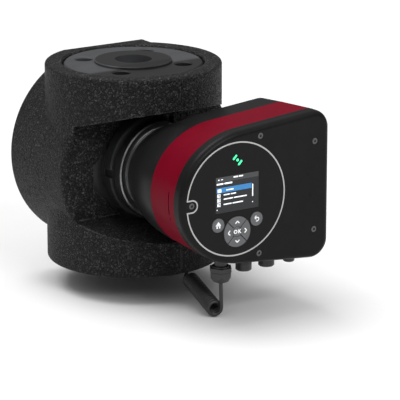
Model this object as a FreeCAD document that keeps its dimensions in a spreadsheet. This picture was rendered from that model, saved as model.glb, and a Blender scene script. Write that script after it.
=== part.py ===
"""Flanged wet-rotor circulator pump with insulating shells, a control head and a curly sensor lead.

Row frame, millimetres: the origin is the centre of the lower (inlet) flange's raised face and +Z runs
up the pipe line to the outlet.  The motor shaft crosses the pipe line at "shaft_height" and runs along
-Y towards the control panel, so a piece of the motor or the head is drawn in the shaft frame: its
depth is the distance in front of the pipe line, its radius the distance from the shaft.
"""
import FreeCAD, Part
import math
import os
import Sketcher

V = FreeCAD.Vector
UP, FORWARD, RIGHT = V(0, 0, 1), V(0, -1, 0), V(1, 0, 0)
doc = FreeCAD.newDocument("circulator")
sheet = doc.addObject("Spreadsheet::Sheet", "Sizes")

SIZES = {
    "Ports and flanges": {
        "port_length": 220, "shaft_height": 110, "inlet_bore": 20.5, "outlet_bore": 20, "flange_radius": 75,
        "flange_thick": 18, "face_radius": 42, "face_raise": 3, "bolt_circle": 55,
        "bolt_hole": 9.5, "pipe_radius": 29, "hub_flare": 9, "hub_length": 14, "rim_edge": 1.5,
        "mouth_edge": 1.2,
    },
    "Pump housing": {
        "volute_ring": 56, "volute_radius": 17, "volute_start": 9, "volute_wall": 5,
        "volute_turn": 300, "tongue_angle": 70, "volute_pull": 0.6, "throat_run": 30, "discharge_rise": 64, "casing_back": 17, "chamber_radius": 49.5,
        "housing_front": 48, "neck_radius": 50, "mouth_radius": 44.5, "motor_flange": 58,
        "motor_flange_back": 30, "suction_back": 38, "eye_radius": 19.5, "duct_wall": 6,
        "joint_depth": 53, "spigot_radius": 50.5, "spigot_neck": 48.3, "sensor_x": 9,
        "sensor_z": -78, "drain_wide": 9, "drain_deep": 3.5, "drain_count": 4,
    },
    "Insulating shells": {
        "drum_radius": 108, "drum_centre": 3, "shell_front": 26, "shell_back": 85.5,
        "collar_radius": 95.5,
        "collar_bore": 77, "collar_inset": 1.7, "shoulder_reach": 66.6, "recess_half": 52,
        "recess_slope": 0.285, "nut_space": 36, "drum_bore": 79, "front_wall": 9, "seam_gap": 0.8,
        "window_side": 66.5, "window_low": 68, "window_high": 66, "window_corner": 56, "window_drop": 7,
        "drum_edge": 6, "shell_edge": 3, "lead_channel": 8.5, "lead_channel_x": 16.3, "lead_channel_y": -82.9,
    },
    "Rotor and bearings": {
        "shaft_radius": 6, "shaft_back": -9, "shaft_front": 116, "running_gap": 0.05, "bush_radius": 11,
        "core_radius": 26, "core_back": 62, "core_length": 42, "thrust_thick": 3.2,
        "impeller_radius": 46, "hub_radius": 11, "shroud_thick": 2.2, "vane_thick": 2.4, "vane_count": 7,
        "outlet_width": 8, "impeller_back": -4,
    },
    "Can and stator": {
        "can_radius": 27.6, "can_wall": 0.5, "can_flange": 50, "can_end": 118, "stack_radius": 43.5,
        "stack_back": 62, "stack_length": 40, "slot_count": 12, "slot_width": 7, "slot_in": 31,
        "slot_out": 39,
        "winding_rise": 6, "motor_shell_radius": 47, "motor_shell_front": 122,
    },
    "Clamp": {
        "clamp_radius": 54.5, "clamp_back": 47.4, "clamp_front": 61, "clamp_thick": 1.6, "lug_angle": 79,
        "lug_rise": 5, "ear_apart": 4.2, "ear_thick": 2.4,
    },
    "Control head": {
        "skirt_back": 66, "skirt_radius": 48.6, "box_back": 100, "band_back": 137, "band_front": 185,
        "panel_depth": 199.5, "cover_round": 6.5, "wall": 2.6, "box_left": 67, "box_high": 80,
        "box_right": 118, "box_rake": 5.4, "box_corner": 20, "box_blend": 90, "draft_band": 2.5,
        "draft_back": 5, "left_back": 56, "skirt_bulge": 150, "slit_depth": 174, "cover_wall": 3.2,
        "ledge_left": -14, "ledge_right": 104, "ledge_top": -52, "rear_edge": 4, "post_radius": 5,
        "post_inboard": 1.5,
    },
    "Panel": {
        "ring_radius": 60.8, "ring_width": 1.5, "notch_radius": 5.6, "notch_x": -54, "window_x": 1.4,
        "window_z": 6.8, "window_wide": 53.2, "window_tall": 38.5, "nav_x": 1.1, "nav_z": -34.9,
        "nav_radius": 16.3, "side_key_x": 23.8, "side_key_z": -24.8, "side_key_radius": 7.5,
        "ok_radius": 5.2, "key_proud": 0.9, "panel_thick": 1.2, "light_x": 1.6, "light_z": 41.3,
    },
    "Cable entries": {
        "entry_depth": 163, "entry_face": -81.5, "entry_pitch": 29, "entry_first": 5.3,
        "gland_flats": 21, "gland_low": -99.5, "plug_radius": 8.6, "plug_low": -91, "plug_edge": 1,
        "small_plug_radius": 6.2,
    },
    "Sensor lead": {
        "lead_radius": 2, "coil_radius": 9.1, "coil_front_x": -2.2, "coil_front_y": -165,
        "coil_front_z": -128.5, "coil_back_x": 17, "coil_back_y": -85, "coil_back_z": -118.5,
    },
}


class Size:
    """A number together with the sheet formula that gives it."""

    def __init__(self, value, text):
        self.value, self.text = float(value), text

    def joined(self, other, sign, value):
        return Size(value, "(%s %s %s)" % (self.text, sign, other.text))

    def __add__(self, other):
        other = as_size(other)
        return self.joined(other, "+", self.value + other.value)

    def __sub__(self, other):
        other = as_size(other)
        return self.joined(other, "-", self.value - other.value)

    def __mul__(self, other):
        other = as_size(other)
        return self.joined(other, "*", self.value * other.value)

    def __truediv__(self, other):
        other = as_size(other)
        return self.joined(other, "/", self.value / other.value)

    def __radd__(self, other):
        return as_size(other) + self

    def __rsub__(self, other):
        return as_size(other) - self

    def __rmul__(self, other):
        return as_size(other) * self

    def __neg__(self):
        return as_size(0) - self


def as_size(number):
    return number if isinstance(number, Size) else Size(number, "(%s)" % repr(float(number)))


class Sizes:
    """The sheet's aliases as attributes."""


def fill_sheet():
    """Write every driving dimension to the sheet and hand back its aliases as sizes."""
    sizes, row = Sizes(), 1
    for group, cells in SIZES.items():
        sheet.set("A%d" % row, group)
        for alias, value in cells.items():
            row += 1
            sheet.set("A%d" % row, alias.replace("_", " "))
            sheet.set("B%d" % row, str(value))
            sheet.setAlias("B%d" % row, alias)
            setattr(sizes, alias, Size(value, "Sizes." + alias))
        row += 2
    return sizes


S = fill_sheet()
doc.recompute()
nodes = []


# ---------------------------------------------------------------- drawing helpers

def keep(thing, label=None):
    """Name a finished sub-part and list it for writing."""
    if label:
        thing.Label = label
    nodes.append(thing)
    return thing


def lift(thing, shaft_frame):
    """Stand a piece of the shaft frame at shaft height."""
    if shaft_frame:
        thing.setExpression("Placement.Base.z", S.shaft_height.text)
    return thing


def new_body(name, shaft_frame=True):
    thing = doc.addObject("PartDesign::Body", name)
    thing.Label = name
    return lift(thing, shaft_frame)


def new_sketch(body, plane, offset=0):
    """An empty sketch on one of the body's own planes, set off along the plane's normal."""
    sketch = body.newObject("Sketcher::SketchObject", body.Name + "_sketch")
    origin_plane = next(f for f in body.Origin.OriginFeatures if f.Role == plane)
    sketch.AttachmentSupport = (origin_plane, "")
    sketch.MapMode = "FlatFace"
    sketch.setExpression("AttachmentOffset.Base.z", as_size(offset).text)
    return sketch


def pin(sketch, geometry, end, x, y):
    """Fix one point of the sketch at a place given by two sizes."""
    for kind, size in (("DistanceX", as_size(x)), ("DistanceY", as_size(y))):
        index = sketch.addConstraint(Sketcher.Constraint(kind, -1, 1, geometry, end, size.value))
        sketch.setExpression("Constraints[%d]" % index, size.text)


def polygon(sketch, points):
    """A closed run of straight lines through points given by sizes."""
    places = [V(as_size(x).value, as_size(y).value, 0) for x, y in points]
    first = sketch.GeometryCount
    for index, place in enumerate(places):
        sketch.addGeometry(Part.LineSegment(place, places[(index + 1) % len(places)]), False)
    for index, (x, y) in enumerate(points):
        pin(sketch, first + index, 1, x, y)
        after = first + (index + 1) % len(points)
        sketch.addConstraint(Sketcher.Constraint("Coincident", first + index, 2, after, 1))
    return sketch


def circle(sketch, x, y, radius):
    radius = as_size(radius)
    centre = V(as_size(x).value, as_size(y).value, 0)
    index = sketch.addGeometry(Part.Circle(centre, V(0, 0, 1), radius.value), False)
    pin(sketch, index, 3, x, y)
    number = sketch.addConstraint(Sketcher.Constraint("Radius", index, radius.value))
    sketch.setExpression("Constraints[%d]" % number, radius.text)
    return sketch


def rectangle(sketch, x, y, wide, tall):
    """A rectangle about its centre."""
    x, y, wide, tall = (as_size(value) for value in (x, y, wide, tall))
    left, right, low, high = x - wide / 2, x + wide / 2, y - tall / 2, y + tall / 2
    return polygon(sketch, [(left, low), (right, low), (right, high), (left, high)])


def add_pad(body, sketch, length, both_ways=False):
    pad = body.newObject("PartDesign::Pad", body.Name + "_pad")
    pad.Profile = sketch
    pad.setExpression("Length", as_size(length).text)
    pad.Midplane = both_ways
    body.Tip = pad
    return pad


def add_pocket(body, sketch, length, both_ways=False):
    """Cut from the sketch's plane back against its normal."""
    pocket = body.newObject("PartDesign::Pocket", body.Name + "_pocket")
    pocket.Profile = sketch
    pocket.setExpression("Length", as_size(length).text)
    pocket.Midplane = both_ways
    body.Tip = pocket
    return pocket


def add_turn(body, sketch, axis="H_Axis", cut=False):
    kind = "PartDesign::Groove" if cut else "PartDesign::Revolution"
    turn = body.newObject(kind, body.Name + "_turn")
    turn.Profile = sketch
    turn.ReferenceAxis = (sketch, [axis])
    turn.Angle = 360
    body.Tip = turn
    return turn


def depth_points(points):
    """Turn (depth, radius) pairs into the coordinates of a sketch that holds the shaft."""
    return [(-as_size(depth), as_size(radius)) for depth, radius in points]


def turned(name, points):
    """A ring or disc turned about the shaft from its (depth, radius) profile."""
    body = new_body(name)
    add_turn(body, polygon(new_sketch(body, "YZ_Plane"), depth_points(points)))
    return keep(body)


def collar(name, inner, outer, back, front):
    """A plain round collar about the shaft."""
    return turned(name, [(back, inner), (front, inner), (front, outer), (back, outer)])


def cut_through(body, back, front, draw):
    """Cut what draw puts on a cross-section of the shaft, from one depth to another."""
    sketch = new_sketch(body, "XZ_Plane", front)
    draw(sketch)
    return add_pocket(body, sketch, as_size(front) - back)


def grow(body, back, front, draw):
    """Pad what draw puts on a cross-section of the shaft, from one depth to another."""
    sketch = new_sketch(body, "XZ_Plane", back)
    draw(sketch)
    return add_pad(body, sketch, as_size(front) - back)


def block(name, low, high, shaft_frame=True):
    """A helper box between two corners."""
    thing = doc.addObject("Part::Box", name)
    low, high = [as_size(v) for v in low], [as_size(v) for v in high]
    for side, near, far in zip(("Length", "Width", "Height"), low, high):
        thing.setExpression(side, (far - near).text)
    for axis, near in zip("xyz", low):
        lifted = near + S.shaft_height if shaft_frame and axis == "z" else near
        thing.setExpression("Placement.Base." + axis, lifted.text)
    return thing


def rod(name, radius, length, start, direction=UP, shaft_frame=True):
    """A helper cylinder from a point along a direction."""
    thing = doc.addObject("Part::Cylinder", name)
    thing.setExpression("Radius", as_size(radius).text)
    thing.setExpression("Height", as_size(length).text)
    thing.Placement.Rotation = FreeCAD.Rotation(UP, direction)
    for axis, value in zip("xyz", start):
        value = as_size(value)
        lifted = value + S.shaft_height if shaft_frame and axis == "z" else value
        thing.setExpression("Placement.Base." + axis, lifted.text)
    return thing


def taper(name, near_radius, far_radius, length, start, direction=UP):
    """A helper cone on the pipe line or parallel to it, from a point of the row frame."""
    thing = doc.addObject("Part::Cone", name)
    thing.setExpression("Radius1", as_size(near_radius).text)
    thing.setExpression("Radius2", as_size(far_radius).text)
    thing.setExpression("Height", as_size(length).text)
    thing.Placement.Rotation = FreeCAD.Rotation(UP, direction)
    for axis, value in zip("xyz", start):
        thing.setExpression("Placement.Base." + axis, as_size(value).text)
    return thing


def combine(kind, name, *parts):
    """A boolean of document objects: Fuse and Common take any number, Cut takes a base and tools."""
    if kind == "Cut":
        thing = doc.addObject("Part::Cut", name)
        thing.Base = parts[0]
        thing.Tool = parts[1] if len(parts) == 2 else combine("Fuse", name + "_tools", *parts[1:])
        return thing
    thing = doc.addObject("Part::Multi" + kind, name)
    thing.Shapes = list(parts)
    return thing


def rounded(name, base, radius, chosen):
    """A Part fillet on the edges that the rule picks out."""
    doc.recompute()
    thing = doc.addObject("Part::Fillet", name)
    thing.Base = base
    picks = [i for i, edge in enumerate(base.Shape.Edges, 1) if chosen(edge)]
    thing.Edges = [(i, as_size(radius).value, as_size(radius).value) for i in picks]
    return thing


def round_body(body, radius, chosen, chamfer=False):
    """A PartDesign fillet or chamfer on the edges of the tip that the rule picks out."""
    doc.recompute()
    tip = body.Tip
    names = ["Edge%d" % i for i, edge in enumerate(tip.Shape.Edges, 1) if chosen(edge)]
    kind = "PartDesign::Chamfer" if chamfer else "PartDesign::Fillet"
    thing = body.newObject(kind, body.Name + "_edge")
    thing.Base = (tip, names)
    thing.setExpression("Size" if chamfer else "Radius", as_size(radius).text)
    body.Tip = thing
    return thing


def at_depth(depth, slack=0.05):
    """Pick edges that lie wholly in the cross-section at one depth."""
    y = -as_size(depth).value
    return lambda edge: abs(edge.BoundBox.YMin - y) < slack and abs(edge.BoundBox.YMax - y) < slack


def group(name, shapes):
    """Identical small pieces as one node: separate solids in the row frame."""
    thing = doc.addObject("Part::Feature", name)
    thing.Label = name
    thing.Shape = Part.makeCompound(shapes)
    return keep(thing)


def at_shaft(x, depth, z):
    """The row-frame place of a point given in the shaft frame."""
    return V(as_size(x).value, -as_size(depth).value, as_size(z).value + S.shaft_height.value)


def stepped(start, direction, steps):
    """Cylinders stacked along a direction: (radius, length) pairs, fused into one solid."""
    solid, place = None, V(start)
    for radius, length in steps:
        disc = Part.makeCylinder(radius, length, place, direction)
        solid = disc if solid is None else solid.fuse(disc)
        place = place + V(direction) * length
    return solid.removeSplitter()


def hexagon(across_flats, length, start, direction):
    """A hexagonal prism along a direction."""
    corners = [V(across_flats / math.sqrt(3) * math.cos(k * math.pi / 3),
                 across_flats / math.sqrt(3) * math.sin(k * math.pi / 3), 0) for k in range(7)]
    prism = Part.Face(Part.makePolygon(corners)).extrude(V(0, 0, length))
    prism.Placement = FreeCAD.Placement(V(start), FreeCAD.Rotation(UP, V(direction)))
    return prism


# ---------------------------------------------------------------- pump housing and hydraulics

PORTS = {"inlet": (S.port_length * 0, UP), "outlet": (S.port_length, -UP)}


def port_rod(name, port, radius, start, length):
    """A cylinder on the pipe line, measured inwards from one port's raised face."""
    face, inward = PORTS[port]
    place = face + start if port == "inlet" else face - start
    return rod(name, radius, length, (0, 0, place), inward, False)


def elbow(name, radius, places):
    """A bent duct: rods between places, with a ball of the same radius at each bend."""
    parts = []
    for index, (start, end) in enumerate(zip(places, places[1:])):
        run = end - start
        leg = doc.addObject("Part::Cylinder", "%s_leg%d" % (name, index))
        leg.setExpression("Radius", as_size(radius).text)
        leg.Height = run.Length
        leg.Placement = FreeCAD.Placement(start, FreeCAD.Rotation(UP, run))
        ball = doc.addObject("Part::Sphere", "%s_ball%d" % (name, index))
        ball.setExpression("Radius", as_size(radius).text)
        ball.Placement.Base = end
        parts += [leg, ball]
    return combine("Fuse", name, *parts)


def suction_path():
    """From the inlet bore round behind the volute to the impeller eye."""
    rise = S.shaft_height.value
    behind = S.suction_back.value
    return [V(0, 0, rise * 0.42), V(0, behind * 0.55, rise * 0.6), V(0, behind, rise * 0.9),
            V(0, behind * 0.9, rise)]


def port_flange(port):
    """One pipe flange turned about the pipe line: raised face, eased rim and the hub behind it."""
    face, inward = PORTS[port]
    body = new_body(port + "_flange", False)
    edge, back = S.rim_edge, S.flange_thick
    profile = [
        (0, 0), (S.face_radius - edge / 2, 0), (S.face_radius, edge / 2), (S.face_radius, S.face_raise),
        (S.flange_radius - edge, S.face_raise), (S.flange_radius, S.face_raise + edge),
        (S.flange_radius, back - edge), (S.flange_radius - edge, back), (S.pipe_radius + S.hub_flare, back),
        (S.pipe_radius + S.hub_flare / 2, back + S.hub_length / 4),
        (S.pipe_radius, back + S.hub_length), (0, back + S.hub_length)]
    points = [(radius, face + as_size(height) * inward.z) for radius, height in profile]
    add_turn(body, polygon(new_sketch(body, "XZ_Plane"), points), "V_Axis")
    return body


def flange_holes(port):
    """Four bolt holes straddling the shaft plane, right through one flange, with eased mouths."""
    face, inward = PORTS[port]
    reach = S.bolt_circle * math.sqrt(0.5)
    holes = []
    for x, y in ((reach * a, reach * b) for a in (-1, 1) for b in (-1, 1)):
        holes.append(rod(port + "_hole", S.bolt_hole, S.flange_thick + 2,
                         (x, y, face - inward.z), inward, False))
        holes.append(taper(port + "_hole_edge", S.bolt_hole + S.mouth_edge, S.bolt_hole, S.mouth_edge,
                           (x, y, face + S.face_raise * inward.z), inward))
    return holes


VOLUTE_SECTIONS = 11


def volute_place(share):
    """Where the volute's centre line is, and which way it runs, a share of its turn past the tongue."""
    angle = math.radians((S.tongue_angle - S.volute_turn * share).value)
    radius = S.volute_start + (S.volute_radius - S.volute_start) * share
    ring = (S.volute_ring - (S.volute_radius - radius) * S.volute_pull).value
    centre = V(ring * math.cos(angle), 0, ring * math.sin(angle) + S.shaft_height.value)
    return centre, V(math.sin(angle), 0, -math.cos(angle)), radius


def spiral(name, wall):
    """The volute: a duct that grows clockwise round the impeller from its tongue to the discharge."""
    sections = []
    for step in range(VOLUTE_SECTIONS):
        centre, along, radius = volute_place(step / (VOLUTE_SECTIONS - 1))
        section = doc.addObject("Part::Circle", "%s_section%d" % (name, step))
        section.setExpression("Radius", (radius - wall).text)
        section.Placement = FreeCAD.Placement(centre, FreeCAD.Rotation(UP, along))
        sections.append(section)
    duct = doc.addObject("Part::Loft", name)
    duct.Sections = sections
    duct.Solid = True
    return duct


def discharge_path():
    """From the end of the volute, over its tongue, to the outlet bore."""
    end, along, _ = volute_place(1)
    return [end, end + along * S.throat_run.value,
            V(0, 0, (S.shaft_height + S.discharge_rise).value)]


def pump_housing():
    rise = S.shaft_height
    solids = [rod("pipe", S.pipe_radius, S.port_length - 2, (0, 0, 1), UP, False)]
    solids += [port_flange(port) for port in PORTS]
    solids += [
        spiral("volute", 0),
        elbow("discharge", S.volute_radius, discharge_path()),
        rod("casing", S.neck_radius, S.casing_back + S.motor_flange_back, (0, S.casing_back, 0), FORWARD),
        motor_flange(),
        rod("spigot_neck", S.spigot_neck, S.joint_depth - S.housing_front + 2,
            (0, 2 - S.housing_front, 0), FORWARD),
        rod("spigot", S.spigot_radius, 3.6, (0, 3.6 - S.joint_depth, 0), FORWARD),
        elbow("suction_wall", S.eye_radius + S.duct_wall, suction_path()),
        rod("sensor_boss", 11, 14, (S.sensor_x, -20, S.sensor_z), FORWARD),
    ]
    hollows = [
        spiral("volute_channel", S.volute_wall),
        elbow("discharge_channel", S.volute_radius - S.volute_wall, discharge_path()),
        port_rod("inlet_bore", "inlet", S.inlet_bore, -1, rise * 0.42 + 1),
        port_rod("outlet_bore", "outlet", S.outlet_bore, -1, rise * 0.5),
        rod("chamber", S.chamber_radius, 18, (0, 6, 0), FORWARD),
        rod("mouth", S.mouth_radius, S.joint_depth + 1, (0, 0, 0), FORWARD),
        rod("eye", S.eye_radius, S.suction_back, (0, S.suction_back * 0.9, 0), FORWARD),
        elbow("suction_duct", S.eye_radius, suction_path()),
        rod("sensor_tapping", 5, 30, (S.sensor_x, -10, S.sensor_z), FORWARD),
    ]
    body = combine("Cut", "housing_form", combine("Fuse", "housing_solid", *solids), *hollows,
                   *flange_holes("inlet"), *flange_holes("outlet"))
    return keep(body, "pump_housing")


def motor_flange():
    """The round flange that the clamp pulls against, with a drain notch at each quarter turn."""
    body = new_body("motor_flange")
    back, front, rim = S.motor_flange_back, S.housing_front - 2, S.motor_flange
    edge = S.rim_edge
    profile = [(back, 0), (back, rim - edge), (back + edge, rim), (front - edge, rim), (front, rim - edge),
               (front, 0)]
    add_turn(body, polygon(new_sketch(body, "YZ_Plane"), depth_points(profile)))
    sketch = new_sketch(body, "XZ_Plane", front)
    rectangle(sketch, rim, 0, S.drain_deep * 2, S.drain_wide)
    notch = add_pocket(body, sketch, front - back - 4)
    doc.recompute()
    pattern = body.newObject("PartDesign::PolarPattern", "drain_pattern")
    pattern.Originals = [notch]
    pattern.Axis = (sketch, ["N_Axis"])
    pattern.Angle = 360
    pattern.setExpression("Occurrences", S.drain_count.text)
    body.Tip = pattern
    return body


def impeller():
    """The driven half of the closed impeller: hub plate and backward-curved vanes."""
    body = new_body("impeller")
    plate = S.impeller_back + 2 + S.outlet_width
    profile = [(S.impeller_back, S.shaft_radius), (plate + 6, S.shaft_radius), (plate + 6, S.hub_radius),
               (plate + S.shroud_thick, S.hub_radius + 1), (plate + S.shroud_thick, S.impeller_radius),
               (plate, S.impeller_radius), (plate, S.hub_radius + 3), (S.impeller_back, S.hub_radius - 2)]
    add_turn(body, polygon(new_sketch(body, "YZ_Plane"), depth_points(profile)))
    sketch = new_sketch(body, "XZ_Plane", plate - S.outlet_width)
    vane_outline(sketch)
    vane = add_pad(body, sketch, S.outlet_width + 0.5)
    doc.recompute()
    pattern = body.newObject("PartDesign::PolarPattern", "vane_pattern")
    pattern.Originals = [vane]
    pattern.Axis = (sketch, ["N_Axis"])
    pattern.Angle = 360
    pattern.setExpression("Occurrences", S.vane_count.text)
    body.Tip = pattern
    return keep(body)


def vane_outline(sketch):
    """One vane between two arcs that sweep back 64 degrees from the eye to the rim."""
    stations = [(S.eye_radius.value - 4, 0), ((S.eye_radius + S.impeller_radius).value / 2 - 1, 24),
                (S.impeller_radius.value, 64)]

    def side(sign):
        points = []
        for radius, sweep in stations:
            angle = math.radians(sweep) + sign * S.vane_thick.value / 2 / radius
            points.append(V(radius * math.cos(angle), radius * math.sin(angle), 0))
        return points

    near, far = side(-1), side(1)
    sketch.addGeometry(Part.Arc(*near), False)
    sketch.addGeometry(Part.LineSegment(near[2], far[2]), False)
    sketch.addGeometry(Part.Arc(*far), False)
    sketch.addGeometry(Part.LineSegment(far[0], near[0]), False)


def hydraulics():
    plate = S.impeller_back + 2
    impeller()
    turned("impeller_eye_shroud", [
        (-12, S.eye_radius - 3.7), (plate - 3, S.eye_radius - 3.7), (plate, S.eye_radius),
        (plate, S.impeller_radius), (plate - S.shroud_thick + 0.4, S.impeller_radius),
        (plate - S.shroud_thick - 1, S.eye_radius + 3), (plate - S.shroud_thick - 1.6, S.eye_radius - 1.5),
        (-12, S.eye_radius - 1.5)])
    collar("wear_ring", S.eye_radius - 1.2, S.eye_radius, -13, -6)
    collar("housing_gasket", S.mouth_radius + 0.4, S.spigot_radius - 0.5, S.joint_depth, S.joint_depth + 0.8)


# ---------------------------------------------------------------- insulating shells

def shell_form():
    """Both insulating shells as one closed form, before the seam is cut."""
    height = S.port_length - S.collar_inset * 2
    column = rod("collars", S.collar_radius, height, (0, 0, S.collar_inset), UP, False)
    column = rounded("collars_rounded", column, S.shell_edge, lambda edge: edge.BoundBox.ZLength < 0.1)
    drum = rod("drum", S.drum_radius, S.shell_back + S.shell_front, (S.drum_centre, S.shell_back, 0), FORWARD)
    front = -S.shell_front.value
    drum = rounded("drum_rounded", drum, S.drum_edge,
                   lambda edge: abs(edge.BoundBox.YMax - front) < 0.1 and edge.BoundBox.XLength > 10)
    shoulder = block("shoulder", (0, 30, S.collar_inset), (S.shoulder_reach, S.shell_back, 0), False)
    shoulder.setExpression("Height", height.text)
    shoulder = rounded("shoulder_rounded", shoulder, S.shell_edge,
                       lambda edge: edge.BoundBox.YMin < S.shell_back.value - 1)
    outside = combine("Fuse", "shell_outside", column, drum, shoulder)
    behind = block("behind", (-150, S.shell_back, -150), (150, S.shell_back + 50, 150))
    return combine("Cut", "shell_form", outside, behind, head_recess(), motor_window(), *shell_hollows())


def head_recess():
    """The wedge between the two collars that leaves room for the motor and the control head."""
    body = new_body("head_recess")
    reach = 90
    far = S.recess_half + S.recess_slope * reach
    sketch = polygon(new_sketch(body, "YZ_Plane"), [
        (-S.shell_front, -S.recess_half), (-S.shell_front, S.recess_half),
        (-S.shell_front - reach, far), (-S.shell_front - reach, -far)])
    add_pad(body, sketch, 300, True)
    return body


def motor_window():
    """The eight-sided window in the front wall that the motor comes out of."""
    body = new_body("motor_window")
    side, low, high = S.window_side, -S.window_low, S.window_high
    reach = S.window_corner * math.sqrt(2)
    centre = -S.window_drop

    def corner_x(z):
        return reach - (z - centre)

    def low_x(z):
        return reach + (z - centre)

    points = [(-side, centre - (reach - side)), (-low_x(low), low), (low_x(low), low),
              (side, centre - (reach - side)), (side, centre + (reach - side)), (corner_x(high), high),
              (-corner_x(high), high), (-side, centre + (reach - side))]
    sketch = polygon(new_sketch(body, "XZ_Plane", S.shell_front - S.front_wall - 6), points)
    add_pad(body, sketch, 30)
    return body


def shell_hollows():
    """The room inside: volute, suction duct, pipes, flanges with their nuts, and the sensor lead."""
    wall_back = S.shell_front - S.front_wall
    hollows = [
        rod("volute_room", S.drum_bore, wall_back + 22, (0, 22, 0), FORWARD),
        rod("duct_room", S.eye_radius + S.duct_wall + 10, 50, (0, 66, 0), FORWARD),
        rod("duct_foot", S.eye_radius + S.duct_wall + 6, 76, (0, 34, -S.shaft_height + 36), UP),
        rod("pipe_room", S.pipe_radius + 4, S.port_length, (0, 0, 0), UP, False),
        rod("lead_channel", S.lead_channel, S.nut_space,
            (S.lead_channel_x, S.lead_channel_y, 0), UP, False),
        rod("flange_room", S.motor_flange + 2, 26, (0, -S.shell_front, 0), FORWARD),
        rod("sensor_room", 11, 42, (S.sensor_x, -25, S.sensor_z), FORWARD),
    ]
    turn = math.radians(S.lug_angle.value)
    lug = S.clamp_radius + S.lug_rise
    hollows.append(rod("clamp_relief", 14, S.clamp_front - 28,
                       (lug * math.cos(turn), -38, lug * math.sin(turn)), FORWARD))
    for port in PORTS:
        hollows.append(port_rod(port + "_room", port, S.collar_bore, -1, S.nut_space + 1))
        face, inward = PORTS[port]
        hollows.append(taper(port + "_room_edge", S.collar_bore + S.rim_edge, S.collar_bore, S.rim_edge,
                             (0, 0, face + S.collar_inset * inward.z), inward))
    return hollows


def insulation():
    form = shell_form()
    half = S.seam_gap / 2
    left = block("left_side", (-150, -150, -150), (-half, 150, 150))
    right = block("right_side", (half, -150, -150), (150, 150, 150))
    keep(combine("Common", "left_shell", form, left), "insulation_left")
    keep(combine("Common", "right_shell", form, right), "insulation_right")


# ---------------------------------------------------------------- motor

def motor():
    plate_front = S.joint_depth - 0.4
    bush_back = S.joint_depth - 12
    body = new_body("bearing_plate")
    profile = [
        (bush_back, S.bush_radius), (plate_front + 1, S.bush_radius), (plate_front + 1, S.bush_radius + 5),
        (plate_front, S.mouth_radius - 0.1), (plate_front - 5, S.mouth_radius - 0.1),
        (bush_back + 2, S.bush_radius + 6), (bush_back, S.bush_radius + 4)]
    add_turn(body, polygon(new_sketch(body, "YZ_Plane"), depth_points(profile)))
    cut_through(body, bush_back, plate_front + 1, lambda sketch: [
        circle(sketch, 30 * math.cos(math.radians(a)), 30 * math.sin(math.radians(a)), 2.5)
        for a in range(0, 360, 90)])
    keep(body)
    bore = S.shaft_radius + S.running_gap
    collar("front_bearing", bore, S.bush_radius, bush_back, plate_front + 1)
    collar("thrust_bearing", bore + 0.4, S.bush_radius, plate_front + 1, plate_front + 2.4)
    thrust_back = plate_front + 2.8
    collar("thrust_ring", S.shaft_radius, S.bush_radius, thrust_back, thrust_back + S.thrust_thick)
    inner, end = S.can_radius - S.can_wall, S.can_end
    flange_back, flange_front = S.joint_depth + 0.8, S.joint_depth + 2
    turned("rotor_can", [
        (flange_back, inner), (flange_back, S.can_flange), (flange_front, S.can_flange),
        (flange_front, S.can_radius), (end, S.can_radius), (end, 0), (end - 0.8, 0), (end - 0.8, inner)])
    collar("rear_bearing", bore, S.bush_radius, end - 13, end - 1.5)
    collar("rear_bearing_holder", S.bush_radius, inner, end - 11, end - 4)
    collar("rotor_core", S.shaft_radius, S.core_radius, S.core_back, S.core_back + S.core_length)
    body = new_body("shaft")
    tip = S.shaft_radius - 0.8
    profile = [(S.shaft_back, 0), (S.shaft_back, tip), (S.shaft_back + 0.8, S.shaft_radius),
               (S.shaft_front - 0.8, S.shaft_radius), (S.shaft_front, tip), (S.shaft_front, 0)]
    add_turn(body, polygon(new_sketch(body, "YZ_Plane"), depth_points(profile)))
    keep(body)
    stator()


def slot_place(index, radius):
    angle = 2 * math.pi * index / S.slot_count.value
    return radius * math.cos(angle), radius * math.sin(angle), math.degrees(angle)


def slot_bars(width, back, front, grow_by):
    """The winding space of every slot as upright bars between two depths."""
    bars = []
    depth = S.slot_out.value - S.slot_in.value + 2 * grow_by
    for index in range(int(S.slot_count.value)):
        bar = Part.makeBox(depth, front - back, width, V(S.slot_in.value - grow_by, -front, -width / 2))
        bar.rotate(V(0, 0, 0), V(0, 1, 0), slot_place(index, 1)[2])
        bars.append(bar)
    return bars


def raised(shape):
    """Lift a shape of the shaft frame to shaft height."""
    shape.translate(UP * S.shaft_height.value)
    return shape


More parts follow.
